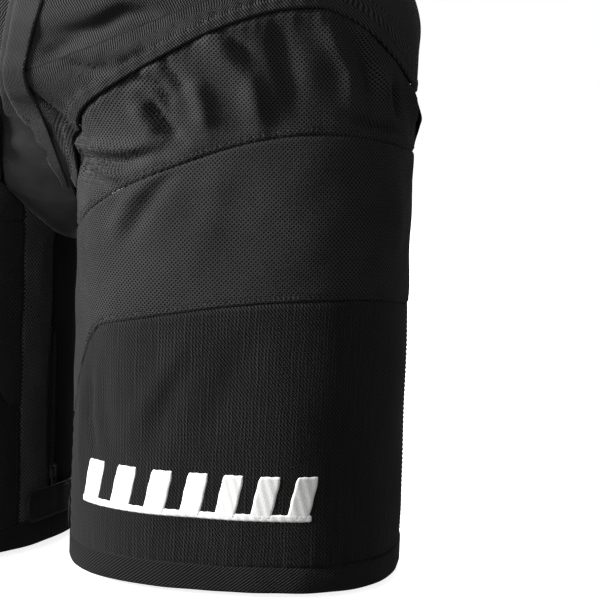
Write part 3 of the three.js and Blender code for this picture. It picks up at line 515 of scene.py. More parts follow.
def add_stitches(shape, path, out, length=2.7, gap=0.9, width=0.34, slot=1, raised=0.1):
    """A row of short rounded threads along a path that lies on the cloth."""
    along = lengths_along(path)
    starts = np.arange(0.5, along[-1] - length, length + gap)
    if not len(starts):
        return

    steps = np.array([0, 0.22, 0.5, 0.78, 1.0])
    fat = np.array([0.35, 0.9, 1.0, 0.9, 0.35])
    high = np.array([-0.5, 0.15, 0.35, 0.15, -0.5])
    places = starts[:, None] + steps * length
    points = at_lengths(places, along, path)
    up = unit(at_lengths(places, along, np.broadcast_to(out, path.shape)))
    side = np.cross(unit(np.gradient(points, axis=1)), up)
    centre = points + up * (raised + high * width)[None, :, None]
    size = (fat * width)[None, :, None]
    ring = [centre + side * size, centre + up * size, centre - side * size, centre - up * size]
    corners = np.stack(ring, 2)
    count = len(starts)
    base = np.arange(count)[:, None] * 20
    body = grid_quads(5, 4, wrap=True)
    quads = (base[..., None] + body[None]).reshape(-1, 4)
    ends = np.array([[0, 1, 2, 3], [19, 18, 17, 16]])
    quads = np.concatenate([quads[:, ::-1], (base[..., None] + ends[None]).reshape(-1, 4)])
    shape.add(corners.reshape(-1, 3), quads, None, slot)


# ---- Materials ----


class Nodes:
    """Short names for building one material's node tree."""

    def __init__(self, name):
        self.material = bpy.data.materials.new(name)
        self.material.use_nodes = True
        self.tree = self.material.node_tree
        self.shader = self.tree.nodes["Principled BSDF"]

    def new(self, kind, **settings):
        node = self.tree.nodes.new(kind)
        for key, value in settings.items():
            setattr(node, key, value)
        return node

    def put(self, value, socket):
        if hasattr(value, "is_output"):
            self.tree.links.new(value, socket)
        else:
            socket.default_value = value

    def math(self, operation, a, b=0.0, c=0.0):
        node = self.new("ShaderNodeMath", operation=operation)
        for value, socket in zip((a, b, c), node.inputs):
            self.put(value, socket)
        return node.outputs[0]

    def add(self, a, b):
        return self.math("ADD", a, b)

    def times(self, a, b):
        return self.math("MULTIPLY", a, b)

    def scaled(self, a, factor, offset):
        """a * factor + offset"""
        return self.math("MULTIPLY_ADD", a, factor, offset)

    def weave(self):
        """Millimetres across and along the cloth."""
        source = self.new("ShaderNodeAttribute", attribute_name="weave")
        split = self.new("ShaderNodeSeparateXYZ")
        self.put(source.outputs["Vector"], split.inputs[0])
        return source.outputs["Vector"], split.outputs[0], split.outputs[1]

    def place(self):
        """Metres in the piece's own frame."""
        return self.new("ShaderNodeTexCoord").outputs["Object"]

    def noise(self, vector, scale, detail=3.0, roughness=0.5, stretch=None):
        if stretch:
            mapping = self.new("ShaderNodeMapping")
            self.put(vector, mapping.inputs["Vector"])
            mapping.inputs["Scale"].default_value = stretch
            vector = mapping.outputs[0]
        node = self.new("ShaderNodeTexNoise")
        self.put(vector, node.inputs["Vector"])
        node.inputs["Scale"].default_value = scale
        node.inputs["Detail"].default_value = detail
        node.inputs["Roughness"].default_value = roughness
        return node.outputs["Fac"]

    def wave(self, value, pitch, phase=0.0):
        """A sine along value with that pitch, from 0 to 1."""
        turned = self.scaled(value, 2 * math.pi / pitch, phase)
        return self.scaled(self.math("SINE", turned), 0.5, 0.5)

    def between(self, factor, low, high):
        node = self.new("ShaderNodeMapRange", interpolation_type="SMOOTHSTEP")
        self.put(factor, node.inputs[0])
        node.inputs[1].default_value, node.inputs[2].default_value = low, high
        return node.outputs[0]

    def mix(self, factor, first, second):
        node = self.new("ShaderNodeMix", data_type="RGBA")
        self.put(factor, node.inputs[0])
        for value, socket in ((first, node.inputs[6]), (second, node.inputs[7])):
            self.put((*value, 1) if isinstance(value, tuple) else value, socket)
        return node.outputs[2]

    def bump(self, height, distance, strength=1.0, below=None):
        node = self.new("ShaderNodeBump")
        self.put(height, node.inputs["Height"])
        node.inputs["Distance"].default_value = distance
        node.inputs["Strength"].default_value = strength
        if below is not None:
            self.put(below, node.inputs["Normal"])
        return node.outputs[0]

    def finish(self, colour, roughness, normal, **constants):
        self.put(colour, self.shader.inputs["Base Color"])
        self.put(roughness, self.shader.inputs["Roughness"])
        self.put(normal, self.shader.inputs["Normal"])
        for key, value in constants.items():
            self.shader.inputs[key.replace("_", " ")].default_value = value
        return self.material


def grey(value):
    """A near black or grey with a trace of blue."""
    return (value, value, value * 1.04)


def twill(name, dark, light, rib=2.5, rib_depth=0.5, diagonal=2.6, sheen=0.03):
    """Woven twill: fine diagonal wales over uneven upright ribs."""
    n = Nodes(name)
    vector, u, v = n.weave()
    wale = n.wave(n.add(u, n.times(v, 0.8)), diagonal)
    weft = n.wave(n.math("SUBTRACT", u, v), 2.1)
    wander = n.times(n.noise(vector, 0.06, 2), 3.0)
    upright = n.wave(n.add(u, wander), rib)
    uneven = n.noise(vector, 1.0, 3, 0.6, stretch=(0.5, 0.02, 1))
    patches = n.noise(vector, 0.018, 4, 0.6)
    ribs = n.times(upright, n.between(uneven, 0.3, 0.75))
    cloth = n.add(n.times(wale, 0.55), n.times(weft, 0.2))
    height = n.add(cloth, n.times(ribs, rib_depth))
    shade = n.scaled(patches, 0.25, n.times(height, 0.9))
    colour = n.mix(n.between(shade, 0.25, 0.95), grey(dark), grey(light))
    rough = n.scaled(patches, 0.18, 0.66)
    normal = n.bump(height, 0.0013, 1.0)
    return n.finish(colour, rough, normal,
                    Specular_IOR_Level=0.12, Sheen_Weight=sheen, Sheen_Roughness=0.45)


def sports_mesh(name, dark, light, pitch=2.6, sheen=0.03):
    """Knitted mesh with a quincunx of small holes and fine courses between them."""
    n = Nodes(name)
    vector, u, v = n.weave()
    a = n.math("COSINE", n.times(u, 2 * math.pi / pitch))
    b = n.math("COSINE", n.times(v, 2 * math.pi / pitch))
    lattice = n.times(a, b)
    hole = n.between(lattice, 0.0, 0.55)
    course = n.wave(v, pitch / 2)
    patches = n.noise(vector, 0.02, 4, 0.6)
    fuzz = n.noise(vector, 2.2, 2, 0.6)
    yarn = n.scaled(course, 0.25, n.times(fuzz, 0.35))
    tone = n.between(n.add(n.times(patches, 0.6), yarn), 0.2, 0.85)
    # The holes are real openings in the knit; their near-black colour is painted shade inside them.
    colour = n.mix(hole, n.mix(tone, grey(dark), grey(light)), grey(dark * 0.15))
    height = n.math("SUBTRACT", n.times(yarn, 0.5), n.times(hole, 0.9))
    rough = n.scaled(fuzz, 0.2, 0.66)
    normal = n.bump(height, 0.0020, 1.0)
    return n.finish(colour, rough, normal, Specular_IOR_Level=0.12, Sheen_Weight=sheen, Sheen_Roughness=0.4)


def satin(name, dark, light, specular=0.45, roughness=0.42):
    """Smooth stretch cloth with fine courses and a soft gloss."""
    n = Nodes(name)
    vector, u, v = n.weave()
    course = n.wave(n.add(v, n.times(n.noise(vector, 0.05, 2), 2.0)), 1.5)
    fine = n.wave(u, 0.9)
    patches = n.noise(vector, 0.03, 3, 0.6)
    height = n.add(n.times(course, 0.6), n.times(fine, 0.25))
    colour = n.mix(n.between(n.scaled(height, 0.4, patches), 0.4, 1.0), grey(dark), grey(light))
    rough = n.scaled(patches, 0.2, roughness - 0.1)
    return n.finish(colour, rough, n.bump(height, 0.00012, 1.0),
                    Specular_IOR_Level=specular, Sheen_Weight=0.15, Sheen_Roughness=0.35)


def webbing(name, dark, light, pitch=1.5):
    """Ribbed narrow weave, with ribs along the strap."""
    n = Nodes(name)
    vector, u, v = n.weave()
    rib = n.wave(u, pitch)
    pick = n.wave(n.add(v, n.times(rib, 0.6)), 1.1)
    fuzz = n.noise(vector, 1.6, 3, 0.6)
    height = n.add(n.times(rib, 0.6), n.times(pick, 0.3))
    tone = n.between(n.scaled(fuzz, 0.5, height), 0.3, 1.1)
    rough = n.scaled(fuzz, 0.2, 0.6)
    return n.finish(n.mix(tone, grey(dark), grey(light)), rough, n.bump(height, 0.0003, 1.0),
                    Specular_IOR_Level=0.25, Sheen_Weight=0.1)


def thread(name, dark, light, pitch=0.8):
    """Twisted thread; as satin stitch it lies in close slanting rows."""
    n = Nodes(name)
    vector, u, v = n.weave()
    ply = n.wave(n.add(v, n.times(u, 0.35)), pitch)
    fuzz = n.noise(vector, 1.2, 3, 0.6)
    tone = n.between(n.scaled(fuzz, 0.4, n.times(ply, 0.7)), 0.1, 0.9)
    rough = n.scaled(fuzz, 0.2, 0.42)
    return n.finish(n.mix(tone, dark, light), rough, n.bump(ply, 0.00018, 0.9), Specular_IOR_Level=0.4)


def moulded(name, dark, light, roughness=0.38, grain=900.0, specular=0.45):
    """Moulded plastic: fine grain, faint flow marks and scuffs."""
    n = Nodes(name)
    place = n.place()
    fine = n.noise(place, grain, 3, 0.6)
    broad = n.noise(place, 26.0, 4, 0.6)
    scuff = n.between(n.noise(place, 140.0, 6, 0.75, stretch=(1, 3, 0.4)), 0.6, 0.75)
    tone = n.scaled(scuff, 0.35, n.times(broad, 0.6))
    rough = n.add(n.scaled(broad, 0.16, roughness - 0.06), n.times(scuff, 0.14))
    return n.finish(n.mix(tone, dark, light), rough, n.bump(fine, 0.00006, 0.7),
                    Specular_IOR_Level=specular)


def foam(name, dark, light):
    """Fabric-faced foam: a brushed nap over fine open cells."""
    n = Nodes(name)
    place = n.place()
    cells = n.new("ShaderNodeTexVoronoi")
    n.put(place, cells.inputs["Vector"])
    cells.inputs["Scale"].default_value = 620.0
    nap = n.noise(place, 380.0, 4, 0.65)
    broad = n.noise(place, 18.0, 4, 0.6)
    height = n.scaled(cells.outputs["Distance"], 0.7, n.times(nap, 0.6))
    tone = n.between(n.scaled(broad, 0.6, n.times(height, 0.5)), 0.2, 0.9)
    rough = n.scaled(nap, 0.15, 0.8)
    return n.finish(n.mix(tone, dark, light), rough, n.bump(height, 0.0003, 0.8),
                    Specular_IOR_Level=0.25, Sheen_Weight=0.2)


def make_materials():
    """Every finish; the two numbers of a cloth are its dark and its light tone."""
    return {
        "twill": twill("heavy_twill_cloth", 0.0016, 0.0150),
        "binding": twill("hem_binding_cloth", 0.0025, 0.0160, rib=3.1, rib_depth=0.15, diagonal=2.4),
        "stretch": twill("stretch_twill_cloth", 0.0070, 0.0560, rib=2.4, rib_depth=0.06, diagonal=2.2),
        "mesh": sports_mesh("sports_mesh_cloth", 0.0080, 0.0310, pitch=3.3),
        # inner: the sports mesh painted about four times lighter, as painted light on the legs' inner front
        # faces, which the lamps leave in shade.
        "inner": sports_mesh("inner_mesh_painted_light_cloth", 0.0350, 0.1200, pitch=3.3),
        "flex": sports_mesh("flex_mesh_cloth", 0.0080, 0.0390, pitch=3.3),
        "side": sports_mesh("side_stretch_cloth", 0.0050, 0.0220, pitch=2.4),
        "satin": satin("gusset_satin_cloth", 0.0090, 0.0260),
        "tab": satin("tab_cloth", 0.0045, 0.0100, specular=0.3, roughness=0.6),
        "webbing": webbing("ribbed_webbing", 0.0040, 0.0110),
        "band": twill("waistband_cloth", 0.0050, 0.0125, rib=1.6, rib_depth=0.2),
        "thread": thread("black_thread", grey(0.0012), grey(0.0045)),
        "white": thread("white_satin_stitch", (0.62, 0.62, 0.61), (0.93, 0.93, 0.92), pitch=0.9),
        "tape": webbing("zip_tape_cloth", 0.0035, 0.0080, pitch=0.9),
        "teeth": moulded("zip_tooth_plastic", grey(0.006), grey(0.018), roughness=0.4),
        "slider": moulded("zip_slider_enamel", grey(0.012), grey(0.05), roughness=0.3, specular=0.6),
        "plastic": moulded("black_moulded_plastic", grey(0.010), grey(0.026)),
        "guard": moulded("guard_plastic", (0.62, 0.62, 0.60), (0.80, 0.80, 0.78), roughness=0.42),
        "foam": foam("pad_foam_cloth", (0.045, 0.047, 0.052), (0.10, 0.10, 0.11)),
    }


MATERIALS = make_materials()


# ---- Panels ----


def cloth_panel(name, body, cloth, start, end, bottom, top, relief, side, *,
                thickness=1.4, stitched=(), step=3.0, replaced=None):
    """One sewn panel.

    relief(degrees, along, height, low, high, first, last) gives its rise in mm, where along is
    in mm round the leg and the last four are distances to the edges. stitched lists
    (edge, distance) for rows of topstitching.
    """
    degrees, height, low, high, first, last = panel_grid(start, end, bottom, top, step)
    rise = relief(degrees, degrees * MM_PER_DEGREE, height, low, high, first, last)
    base = surface(degrees, height)
    outer = base + normals(degrees, height) * rise[..., None]
    run = lengths_along(base[len(base) // 2])
    weave = np.zeros(outer.shape)
    weave[..., 0], weave[..., 1] = run[None], height
    shape = Shape()
    shape.sheet(outer, thickness, weave)
    edges = {"low": low, "high": high, "first": first, "last": last}
    for edge, distance in stitched:
        add_stitches(shape, *row_at(outer, edges[edge], edge, distance))
    piece = shape.piece(f"{side}_{name}", [cloth, "thread"], side)
    declare(piece, f"{side}_{replaced}", body)
    area = quad_area(base) / 1e6
    wide, tall = run[-1] / 1000, float(np.mean(height[-1] - height[0])) / 1000
    wide, tall = max(wide, area / tall * 1.02), max(tall, 0.01)
    return piece


def quad_area(grid):
    a, b = grid[1:, 1:] - grid[:-1, :-1], grid[1:, :-1] - grid[:-1, 1:]
    return float(np.linalg.norm(np.cross(a, b), axis=-1).sum() / 2)


def row_at(outer, distances, edge, place):
    """Points and outward directions along the line that keeps a distance from an edge."""
    out = outward(outer)
    if edge in ("low", "high"):
        outer, out, distances = outer.swapaxes(0, 1), out.swapaxes(0, 1), distances.T
    points, ways = [], []
    for line, way, distance in zip(outer, out, distances):
        order = np.argsort(distance)
        points.append(at_lengths(place, distance[order], line[order]))
        ways.append(at_lengths(place, distance[order], way[order]))
    inside = slice(3, -3)
    return np.array(points)[inside], np.array(ways)[inside]


def pucker(along, distance, size=8.0, depth=0.45, reach=11.0):
    """Small gathers square to a seam, fading away from it."""
    wave = np.sin(2 * math.pi * along / size + 1.7 * np.sin(along / (size * 2.3)))
    return depth * wave * np.exp(-distance / reach)


def dips(edges, depths):
    """The turning down of several edges at once."""
    return sum(edge_dip(edge, depth) for edge, depth in zip(edges, depths))


def leg_panels(side):
    leg = BODIES[side]
    hem = level(HEM_HEIGHT - 1)

    def thigh(d, s, h, low, high, first, last):
        return (1.3 * fold_relief(d, h, THIGH_FOLDS) + 0.8 * ripples(s, h, 80, 2)
                + dips((high, low, first, last), (1.2, 1.0, 1.2, 1.2))
                + pucker(s, low, 9, 0.35) + pucker(h, first, 10, 0.4) + stitch_dip(first, (4.5,)) + 1.2)

    cloth_panel("thigh_cloth", leg, "twill", INNER_FRONT, OUTER_BACK, hem, thigh_top,
                thigh, side, stitched=(("first", 4.5), ("last", 4.5)), replaced="thigh_panel")

    def middle(d, s, h, low, high, first, last):
        folds = 1.5 * fold_relief(d, h, MIDDLE_FOLDS) + 0.7 * ripples(s, h, 60, 5)
        return (folds * smooth(-4, 10, high) + edge_dip(low, 1.6, 1.4)
                + dips((high, first, last), (1.5, 1.2, 1.2))
                + pucker(s, low, 7, 0.25, 7) + stitch_dip(low, (4.4,), 0.5) + 1.3)

    cloth_panel("middle_mesh_cloth", leg, "mesh", INNER_FRONT, OUTER_BACK, thigh_top,
                flex_bottom, middle, side, stitched=(("low", 4.4),), replaced="middle_mesh_panel")

    def back(d, s, h, low, high, first, last):
        return (fold_relief(d, h, BACK_FOLDS) + 0.8 * ripples(s, h, 80, 3)
                + dips((high, low, first, last), (1.3, 1.0, 1.2, 1.2))
                + pucker(s, high, 9, 0.4) + stitch_dip(first, (4.5,)) + 1.1)

    cloth_panel("back_thigh_cloth", leg, "twill", OUTER_BACK, INNER_BACK, hem,
                flex_bottom, back, side, stitched=(("first", 4.5), ("high", 4.5)),
                replaced="back_thigh_panel", step=4.0)

    def inner(d, s, h, low, high, first, last):
        return (fold_relief(d, h, INNER_FOLDS) + 0.4 * ripples(s, h, 60, 7)
                + dips((first, last, low), (0.8, 1.2, 1.0)) - 0.2)

    # The inner front panel takes the lighter mesh, whose colour carries painted light.
    cloth_panel("inner_front_cloth", leg, "inner", ZIP_ANGLE, INNER_FRONT + 360, hem,
                lambda a: leg_top(a, side), inner, side, replaced="inner_panel_front")
    cloth_panel("inner_back_cloth", leg, "twill", INNER_BACK, ZIP_ANGLE, hem,
                lambda a: leg_top(a, side) - 16 * smooth(272, 248, a), inner, side,
                stitched=(("first", 4.5),), replaced="inner_panel_back", step=4.0)


def flex_panels(side):
    """The two panels that stretch between the trunk and a leg."""

    def upper(d, s, h, low, high, first, last):
        folds = 1.7 * fold_relief(d, h, UPPER_FOLDS) + ripples(s, h, 40, 4)
        return (folds * smooth(-4, 10, low) + edge_dip(high, 2.6, 2.6) + edge_dip(low, 1.4, 1.6)
                + dips((first, last), (1.2, 1.5)) + pucker(s, high, 9, 0.55, 9)
                + pucker(s + 3, low, 6, 0.45, 7) + stitch_dip(low, (4.0,), 0.5) + 1.6)

    def stretch(d, s, h, low, high, first, last):
        belly = np.minimum(low, high) / 22
        return (fold_relief(d, h, STRETCH_FOLDS) + 0.8 * ripples(s, h, 40, 6)
                + 5.0 * smooth(0, 1, belly) + edge_dip(high, 1.6, 2.0) + edge_dip(low, 1.6, 2.0)
                + pucker(s, high, 7, 0.7, 9) + pucker(s, low, 7, 0.7, 9) + 0.6)

    for name, cloth, start, end, relief, node, stitched in (
            ("upper_mesh_cloth", "flex", INNER_FRONT, ARC_OUT, upper, "upper_mesh_panel", (("low", 4.0),)),
            ("stretch_cloth", "side", ARC_OUT, INNER_BACK, stretch, "stretch_panel", ())):
        piece = cloth_panel(name, None, cloth, start, end, flex_bottom,
                            lambda a: leg_top(a, side), relief, side, stitched=stitched,
                            replaced=node, step=2.4)
        hang_between(piece, side)


def hang_between(piece, side):
    """Works out each point's angle round the leg, which nothing then uses, and bakes the piece's transform.
    """
    sign = 1 if side == "left" else -1
    points = np.array([v.co for v in piece.data.vertices]) * 1000
    x, y, h = points[:, 0] * sign, points[:, 1], points[:, 2] + LENGTH
    degrees = np.degrees(np.arctan2(x - LEG_CENTRE, -y))
    degrees = np.where(degrees < INNER_FRONT - 20, degrees + 360, degrees)
    blend_to_leg(piece)


def blend_to_leg(piece):
    """Bakes a piece's transform into its mesh."""
    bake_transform(piece)


# How far each side's front panel keeps from the middle plane, at a height.
FLY_EDGES = {
    "left": lambda h: 1.5 + 11 * smooth(370, 288, h),
    "right": lambda h: 3 + 26 * smooth(404, 334, h),
}


def trunk_panels(side):
    def front(d, s, h, low, high, first, last):
        turned = smooth(11.2, 8.2, low) * 0.9  # the seam's allowance, folded under the lower edge
        return (1.5 * fold_relief(d, h, FRONT_FOLDS) * smooth(4, 16, low) + 1.0 * ripples(s, h, 56, 8)
                + turned + edge_dip(low, 1.3, 0.9) + dips((high, first, last), (1.0, 1.0, 1.2))
                + pucker(s, np.abs(low - 9), 10, 0.5, 8) + stitch_dip(low, (9.2,), 0.7)
                + stitch_dip(last, (5.0,)) + 1.6)

    def seat(d, s, h, low, high, first, last):
        return (fold_relief(d, h, SEAT_FOLDS) + 0.9 * ripples(s, h, 70, 9) + edge_dip(low, 1.4, 1.4)
                + dips((high, first, last), (1.0, 1.2, 1.2)) + pucker(s, low, 10, 0.5)
                + stitch_dip(low, (6.0,)) + stitch_dip(last, (5.0,)) + 1.5)

    by_fly = (FLY_EDGES[side], -20, SEAM_FEET[side][1])
    by_back = (lambda height: 1.0, 200, INNER_BACK - 1)
    for name, start, end, relief, row, step in (
            ("front", by_fly, SIDE_SEAM, front, 9.2, 2.6), ("seat", SIDE_SEAM, by_back, seat, 6.0, 3.6)):
        cloth_panel(f"{name}_cloth", "trunk", "stretch", start, end,
                    lambda a: leg_top(a, side), level(BAND_BOTTOM), relief, side,
                    stitched=(("low", row), ("last", 5.0)), replaced=f"{name}_panel", step=step)


# ---- Hem, tab, mark and zip ----


def swept_profile(width, thickness, corner, bulge=0.0, count=6):
    """A rounded bar's outline as (across, out) pairs, centred across, with its back at out 0."""
    points = []
    half = width / 2 - corner
    for cx, cy, start in ((half, thickness - corner, 0), (-half, thickness - corner, 90),
                          (-half, corner, 180), (half, corner, 270)):
        for i in range(count + 1):
            a = math.radians(start + 90 * i / count)
            points.append((cx + corner * math.cos(a), cy + corner * math.sin(a)))
    points = np.array(points)
    crown = bulge * (1 - np.clip(np.abs(points[:, 0]) / (width / 2), 0, 1) ** 2)
    points[:, 1] += crown * smooth(0, thickness, points[:, 1])
    return points


def hem_band(side):
    """The rolled binding round the hem: a padded fold with its seam on top."""
    degrees = np.arange(ZIP_ANGLE - 360 + 0.25, ZIP_ANGLE, 1.1)
    path = surface(degrees, HEM_HEIGHT / 2)
    out = normals(degrees, HEM_HEIGHT / 2)
    wave = ripples(degrees * MM_PER_DEGREE, 0, 26, 3) * 0.35
    profile = swept_profile(HEM_HEIGHT, 4.4, 1.9, 1.3)
    profiles = np.repeat(profile[None], len(degrees), 0)
    profiles[..., 1] += wave[:, None] * (profile[:, 1] > 2)
    profiles[..., 0] += 0.25 * ripples(degrees * MM_PER_DEGREE, 0, 40, 6)[:, None]
    shape = Shape()
    shape.tube(path - out * 3.0, UP, out, profiles)
    piece = shape.piece(f"{side}_hem_binding", ["binding"], side)
    declare(piece, f"{side}_hem_band", BODIES[side])


def hem_tab(side):
    """A strap over the gap in the hem, with a rounded free end at the front and a boxed stitch."""
    angles = np.arange(258.4, 293.6, 0.55)
    base, out = surface(angles, 31.5), normals(angles, 31.5)
    length = lengths_along(base)
    corner = np.clip((length[-1] - length) / 6.5, 0, 1)
    half = 12.4 - 5.5 * (1 - np.sqrt(1 - (1 - corner) ** 2))
    flat = swept_profile(2.0, 1.5, 0.45)
    profiles = np.repeat(flat[None], len(angles), 0)
    profiles[..., 0] *= half[:, None]
    lift = 1.9 + 0.25 * ripples(length, 0, 24, 2)
    shape = Shape()
    shape.tube(base + out * lift[:, None], UP, out, profiles)
    top = base + out * (lift + 1.5)[:, None]
    inside = length < length[-1] - 7
    for place in (-9.8, 9.8):
        add_stitches(shape, top[inside] + UP * place, out[inside])
    row = np.linspace(-9.5, 9.5, 24)[:, None] * UP
    for place in (length[-1] - 9.0, 6.0, 10.0):
        add_stitches(shape, at_lengths(place, length, top) + row, at_lengths(place, length, out))
    piece = shape.piece(f"{side}_hem_tab_strap", ["tab", "thread"], side)
    declare(piece, f"{side}_hem_tab", f"{side}_hem_tab_body")


MARK_START, MARK_END, MARK_BARS, MARK_LEAN = -43.5, 45.5, 7, 3.2  # angles, but for the bars
MARK_BOTTOM, MARK_TOP = 54.5, 88.5


def thigh_mark():
    """A generic mark in satin stitch: leaning bars that stand on one line."""
    shape = Shape()
    pitch = (MARK_END - MARK_START) / MARK_BARS
    for i in range(MARK_BARS):
        start = MARK_START + i * pitch
        stitched_bar(shape, start + 0.4, start + pitch * 0.64, MARK_BOTTOM + 1.0, MARK_TOP, MARK_LEAN)
    stitched_bar(shape, MARK_START, MARK_END - 3.6, MARK_BOTTOM - 0.6, MARK_BOTTOM + 5.4, 0.4)
    piece = shape.piece("left_thigh_satin_mark", ["white"])
    declare(piece, "left_thigh_mark", "left_leg")


def stitched_bar(shape, first, last, bottom, top, lean):
    """A raised block of satin stitch, rounded over at its edges."""
    columns = max(int((last - first) * MM_PER_DEGREE / 1.1), 8)
    rows = max(int((top - bottom) / 1.1), 6)
    u, v = np.meshgrid(np.linspace(0, 1, columns), np.linspace(0, 1, rows))
    degrees = first + (last - first) * u + lean * v * (top - bottom) / (MARK_TOP - MARK_BOTTOM)
    height = bottom + (top - bottom) * v
    wide, tall = (last - first) * MM_PER_DEGREE, top - bottom
    edge = np.minimum(np.minimum(u, 1 - u) * wide, np.minimum(v, 1 - v) * tall)
    inwards = np.clip((1.6 - edge) / 1.6, 0, 1) ** 2
    cut = (np.abs(u - 0.5) * 2) ** 6 * (np.abs(v - 0.5) * 2) ** 6
    degrees = degrees - (u - 0.5) * 3.0 * cut / MM_PER_DEGREE
    lift = 1.3 * fold_relief(degrees, height, THIGH_FOLDS)
    lift = lift + 0.8 * ripples(degrees * MM_PER_DEGREE, height, 80, 2)
    rise = 1.75 + lift - 0.75 * inwards + 0.12 * np.sin(height * 5.6 + degrees * 2.0)
    outer = surface(degrees, height) + normals(degrees, height) * rise[..., None]
    weave = np.stack([degrees * MM_PER_DEGREE, height, 0 * height], -1)
    shape.sheet(outer, 0.9, weave)


ZIP_FOOT, ZIP_LENGTH, TOOTH_PITCH = 50.0, 118.0, 3.0


def zip_frame():
    """The zip's foot, and the directions across it and outwards."""
    along = unit(surface(ZIP_ANGLE + 2, ZIP_FOOT) - surface(ZIP_ANGLE - 2, ZIP_FOOT))
    out = np.cross(along, UP)
    return surface(ZIP_ANGLE, ZIP_FOOT) + out * 0.5, along, out


def zip_half(side, end, direction, offset):
    """One tape of the zip, with its woven rib and a row of moulded teeth."""
    origin, along, out = zip_frame()
    shape = Shape()

    def put(points):
        points = np.asarray(points, float)
        return origin + points[..., :1] * along + points[..., 1:2] * UP + points[..., 2:] * out

    rows, columns = np.linspace(0, ZIP_LENGTH, 60), np.linspace(0, 1, 9)
    x = direction * (1.2 + columns * 4.9)
    y, x = np.meshgrid(rows, x, indexing="ij")
    z = 0.35 + 0.3 * np.exp(-((np.abs(x) - 1.8) / 0.5) ** 2)
    grid = put(np.stack([x, y, z], -1))
    if direction < 0:
        grid = grid[:, ::-1]
    shape.sheet(grid, 0.5, np.stack([np.abs(x), y, 0 * y], -1)[:, ::direction])
    ring = swept_profile(2.0, 0.95, 0.3, count=2)
    profiles = np.repeat(ring[None], 5, 0)
    profiles[..., 0] *= np.array([0.5, 0.72, 0.62, 0.5, 0.58])[:, None]
    for i in range(int(ZIP_LENGTH / TOOTH_PITCH) - 1):
        middle = (i + 1 + offset) * TOOTH_PITCH
        path = put([[direction * t, middle, 0.55] for t in (2.3, 1.6, 0.7, -0.1, -1.0)])
        shape.tube(path, UP, out, profiles, slot=1)
    piece = shape.piece(f"{side}_zip_{end}_tape", ["tape", "teeth"], side)
    declare(piece, f"{side}_zip_stringer_{end}", BODIES[side])


def zip_closure(side):
    """Both halves of the zip, and the piping that frames its slot."""
    zip_half(side, "front", 1, 0)
    zip_half(side, "back", -1, 0.5)
    origin, along, out = zip_frame()
    shape = Shape()
    t = np.linspace(0, 1, 70)[:, None]
    spread = 3.9 + 3.4 * np.sin(math.pi * t) ** 0.8
    angles = np.radians(np.arange(0, 360, 45))
    ring = np.stack([np.cos(angles), np.sin(angles)], 1)
    for direction in (1, -1):
        path = origin + UP * (t * (ZIP_LENGTH + 6) - 3) + along * direction * spread + out * 0.5
        shape.tube(path, along, out, ring)
    declare(shape.piece(f"{side}_zip_piping", ["band"], side), None, BODIES[side])


# ---- Middle of the trunk ----


def front_depth(x, height):
    """Place of the front surface, front to back, at distances from the middle plane."""
    line = surface(np.arange(-20.0, -88.0, -0.25), height)
    line = line[np.argsort(line[:, 0])]
    line = line[line[:, 0] > 1.0]
    return np.interp(np.abs(x), line[:, 0], line[:, 1])


PLACKET_ROWS = (  # height, right edge, left edge
    (277, 14.5, 16.0), (294, 9.5, 15.5), (312, 1.5, 12.5), (329, -4.0, 10.0), (341, -11.0, 8.0),
    (350, -13.0, 7.0), (361, -13.0, 6.0), (376, -11.0, 6.5), (400, -4.0, 14.0), (425, 2.0, 23.0),
    (520, 2.0, 24.0),
)
UNDERLAP_ROWS = (
    (336, -19.0, -8.0), (341, -22.0, -3.0), (361, -17.5, 2.0), (380, -14.0, 4.0), (425, -3.0, 8.0),
    (520, 0.0, 8.0),
)
GUSSET_ROWS = (  # above the legs' seam
    (384, -16.0, 4.0), (362, -21.0, 7.0), (345, -27.0, 11.0), (330, -31.0, 15.0), (312, -33.0, 20.0),
    (299, -32.0, 20.0), (290, -31.0, 18.0),
)


def band(rows, rise, step=2.5):
    """A band on the front, between two edges, drawn tight over the hollow above the crotch."""
    rows = np.array(rows, float)
    heights = np.append(np.arange(rows[0, 0], rows[-1, 0] - 1, step), rows[-1, 0] - 0.4)
    u = np.linspace(0, 1, 25)
    grid, weave = [], []
    for h in heights:
        right, left = np.interp(h, rows[:, 0], rows[:, 1]), np.interp(h, rows[:, 0], rows[:, 2])
        x = right + (left - right) * u
        ends = front_depth(np.array([-32.0, 16.0]), h)
        tight = np.interp(x, (-32, 16), ends)
        y = np.minimum(front_depth(x, h), tight) - rise + 0.6 * np.abs(2 * u - 1) ** 8
        y = y + 0.4 * ripples(x * 0.3 + h, h, 30, 4)
        grid.append(np.stack([x, y, np.full(x.shape, h)], -1))
        weave.append(np.stack([(u - 0.5) * 25, np.full(x.shape, h), 0 * x], -1))
    return np.array(grid), np.array(weave)


def fly():
    """The ribbed placket, which narrows to a tongue beside the gusset, and the underlap behind it."""
    for name, node, slot, rows, rise in (
            ("fly_placket_webbing", "fly_placket", "webbing", PLACKET_ROWS, 4.4),
            ("fly_underlap_cloth", "fly_underlap", "stretch_twill", UNDERLAP_ROWS, 2.7)):
        grid, weave = band(rows, rise)
        shape = Shape()
        shape.sheet(grid, 1.3, weave)
        if node == "fly_placket":
            add_stitches(shape, grid[28:, 22], FORWARD)
        declare(shape.piece(name, ["webbing", "thread"]), node, "trunk")


def resampled(points, shares):
    """Points at shares, from 0 to 1, of a path's length."""
    along = lengths_along(points)
    return at_lengths(shares * along[-1], along, points)


def gusset_edge(side):
    """One edge: down the front beside the fly, then along the leg's seam to the back."""
    sign, column = (1, 2) if side == "left" else (-1, 1)
    front = np.array([
        (row[column], front_depth(row[column], row[0]) + 5 * smooth(352, 376, row[0]), row[0])
        for row in GUSSET_ROWS
    ])
    angles = np.linspace(SEAM_FEET[side][1] - 1, -123, 34)
    under = surface(angles, leg_top(angles, side) - 1) * (sign, 1, 1)
    under[:, 0] -= sign * 0.6
    end = under[-1] + np.array([[-sign * 3, 5, 14], [-sign * 7, 10, 30]])
    return front, under, end


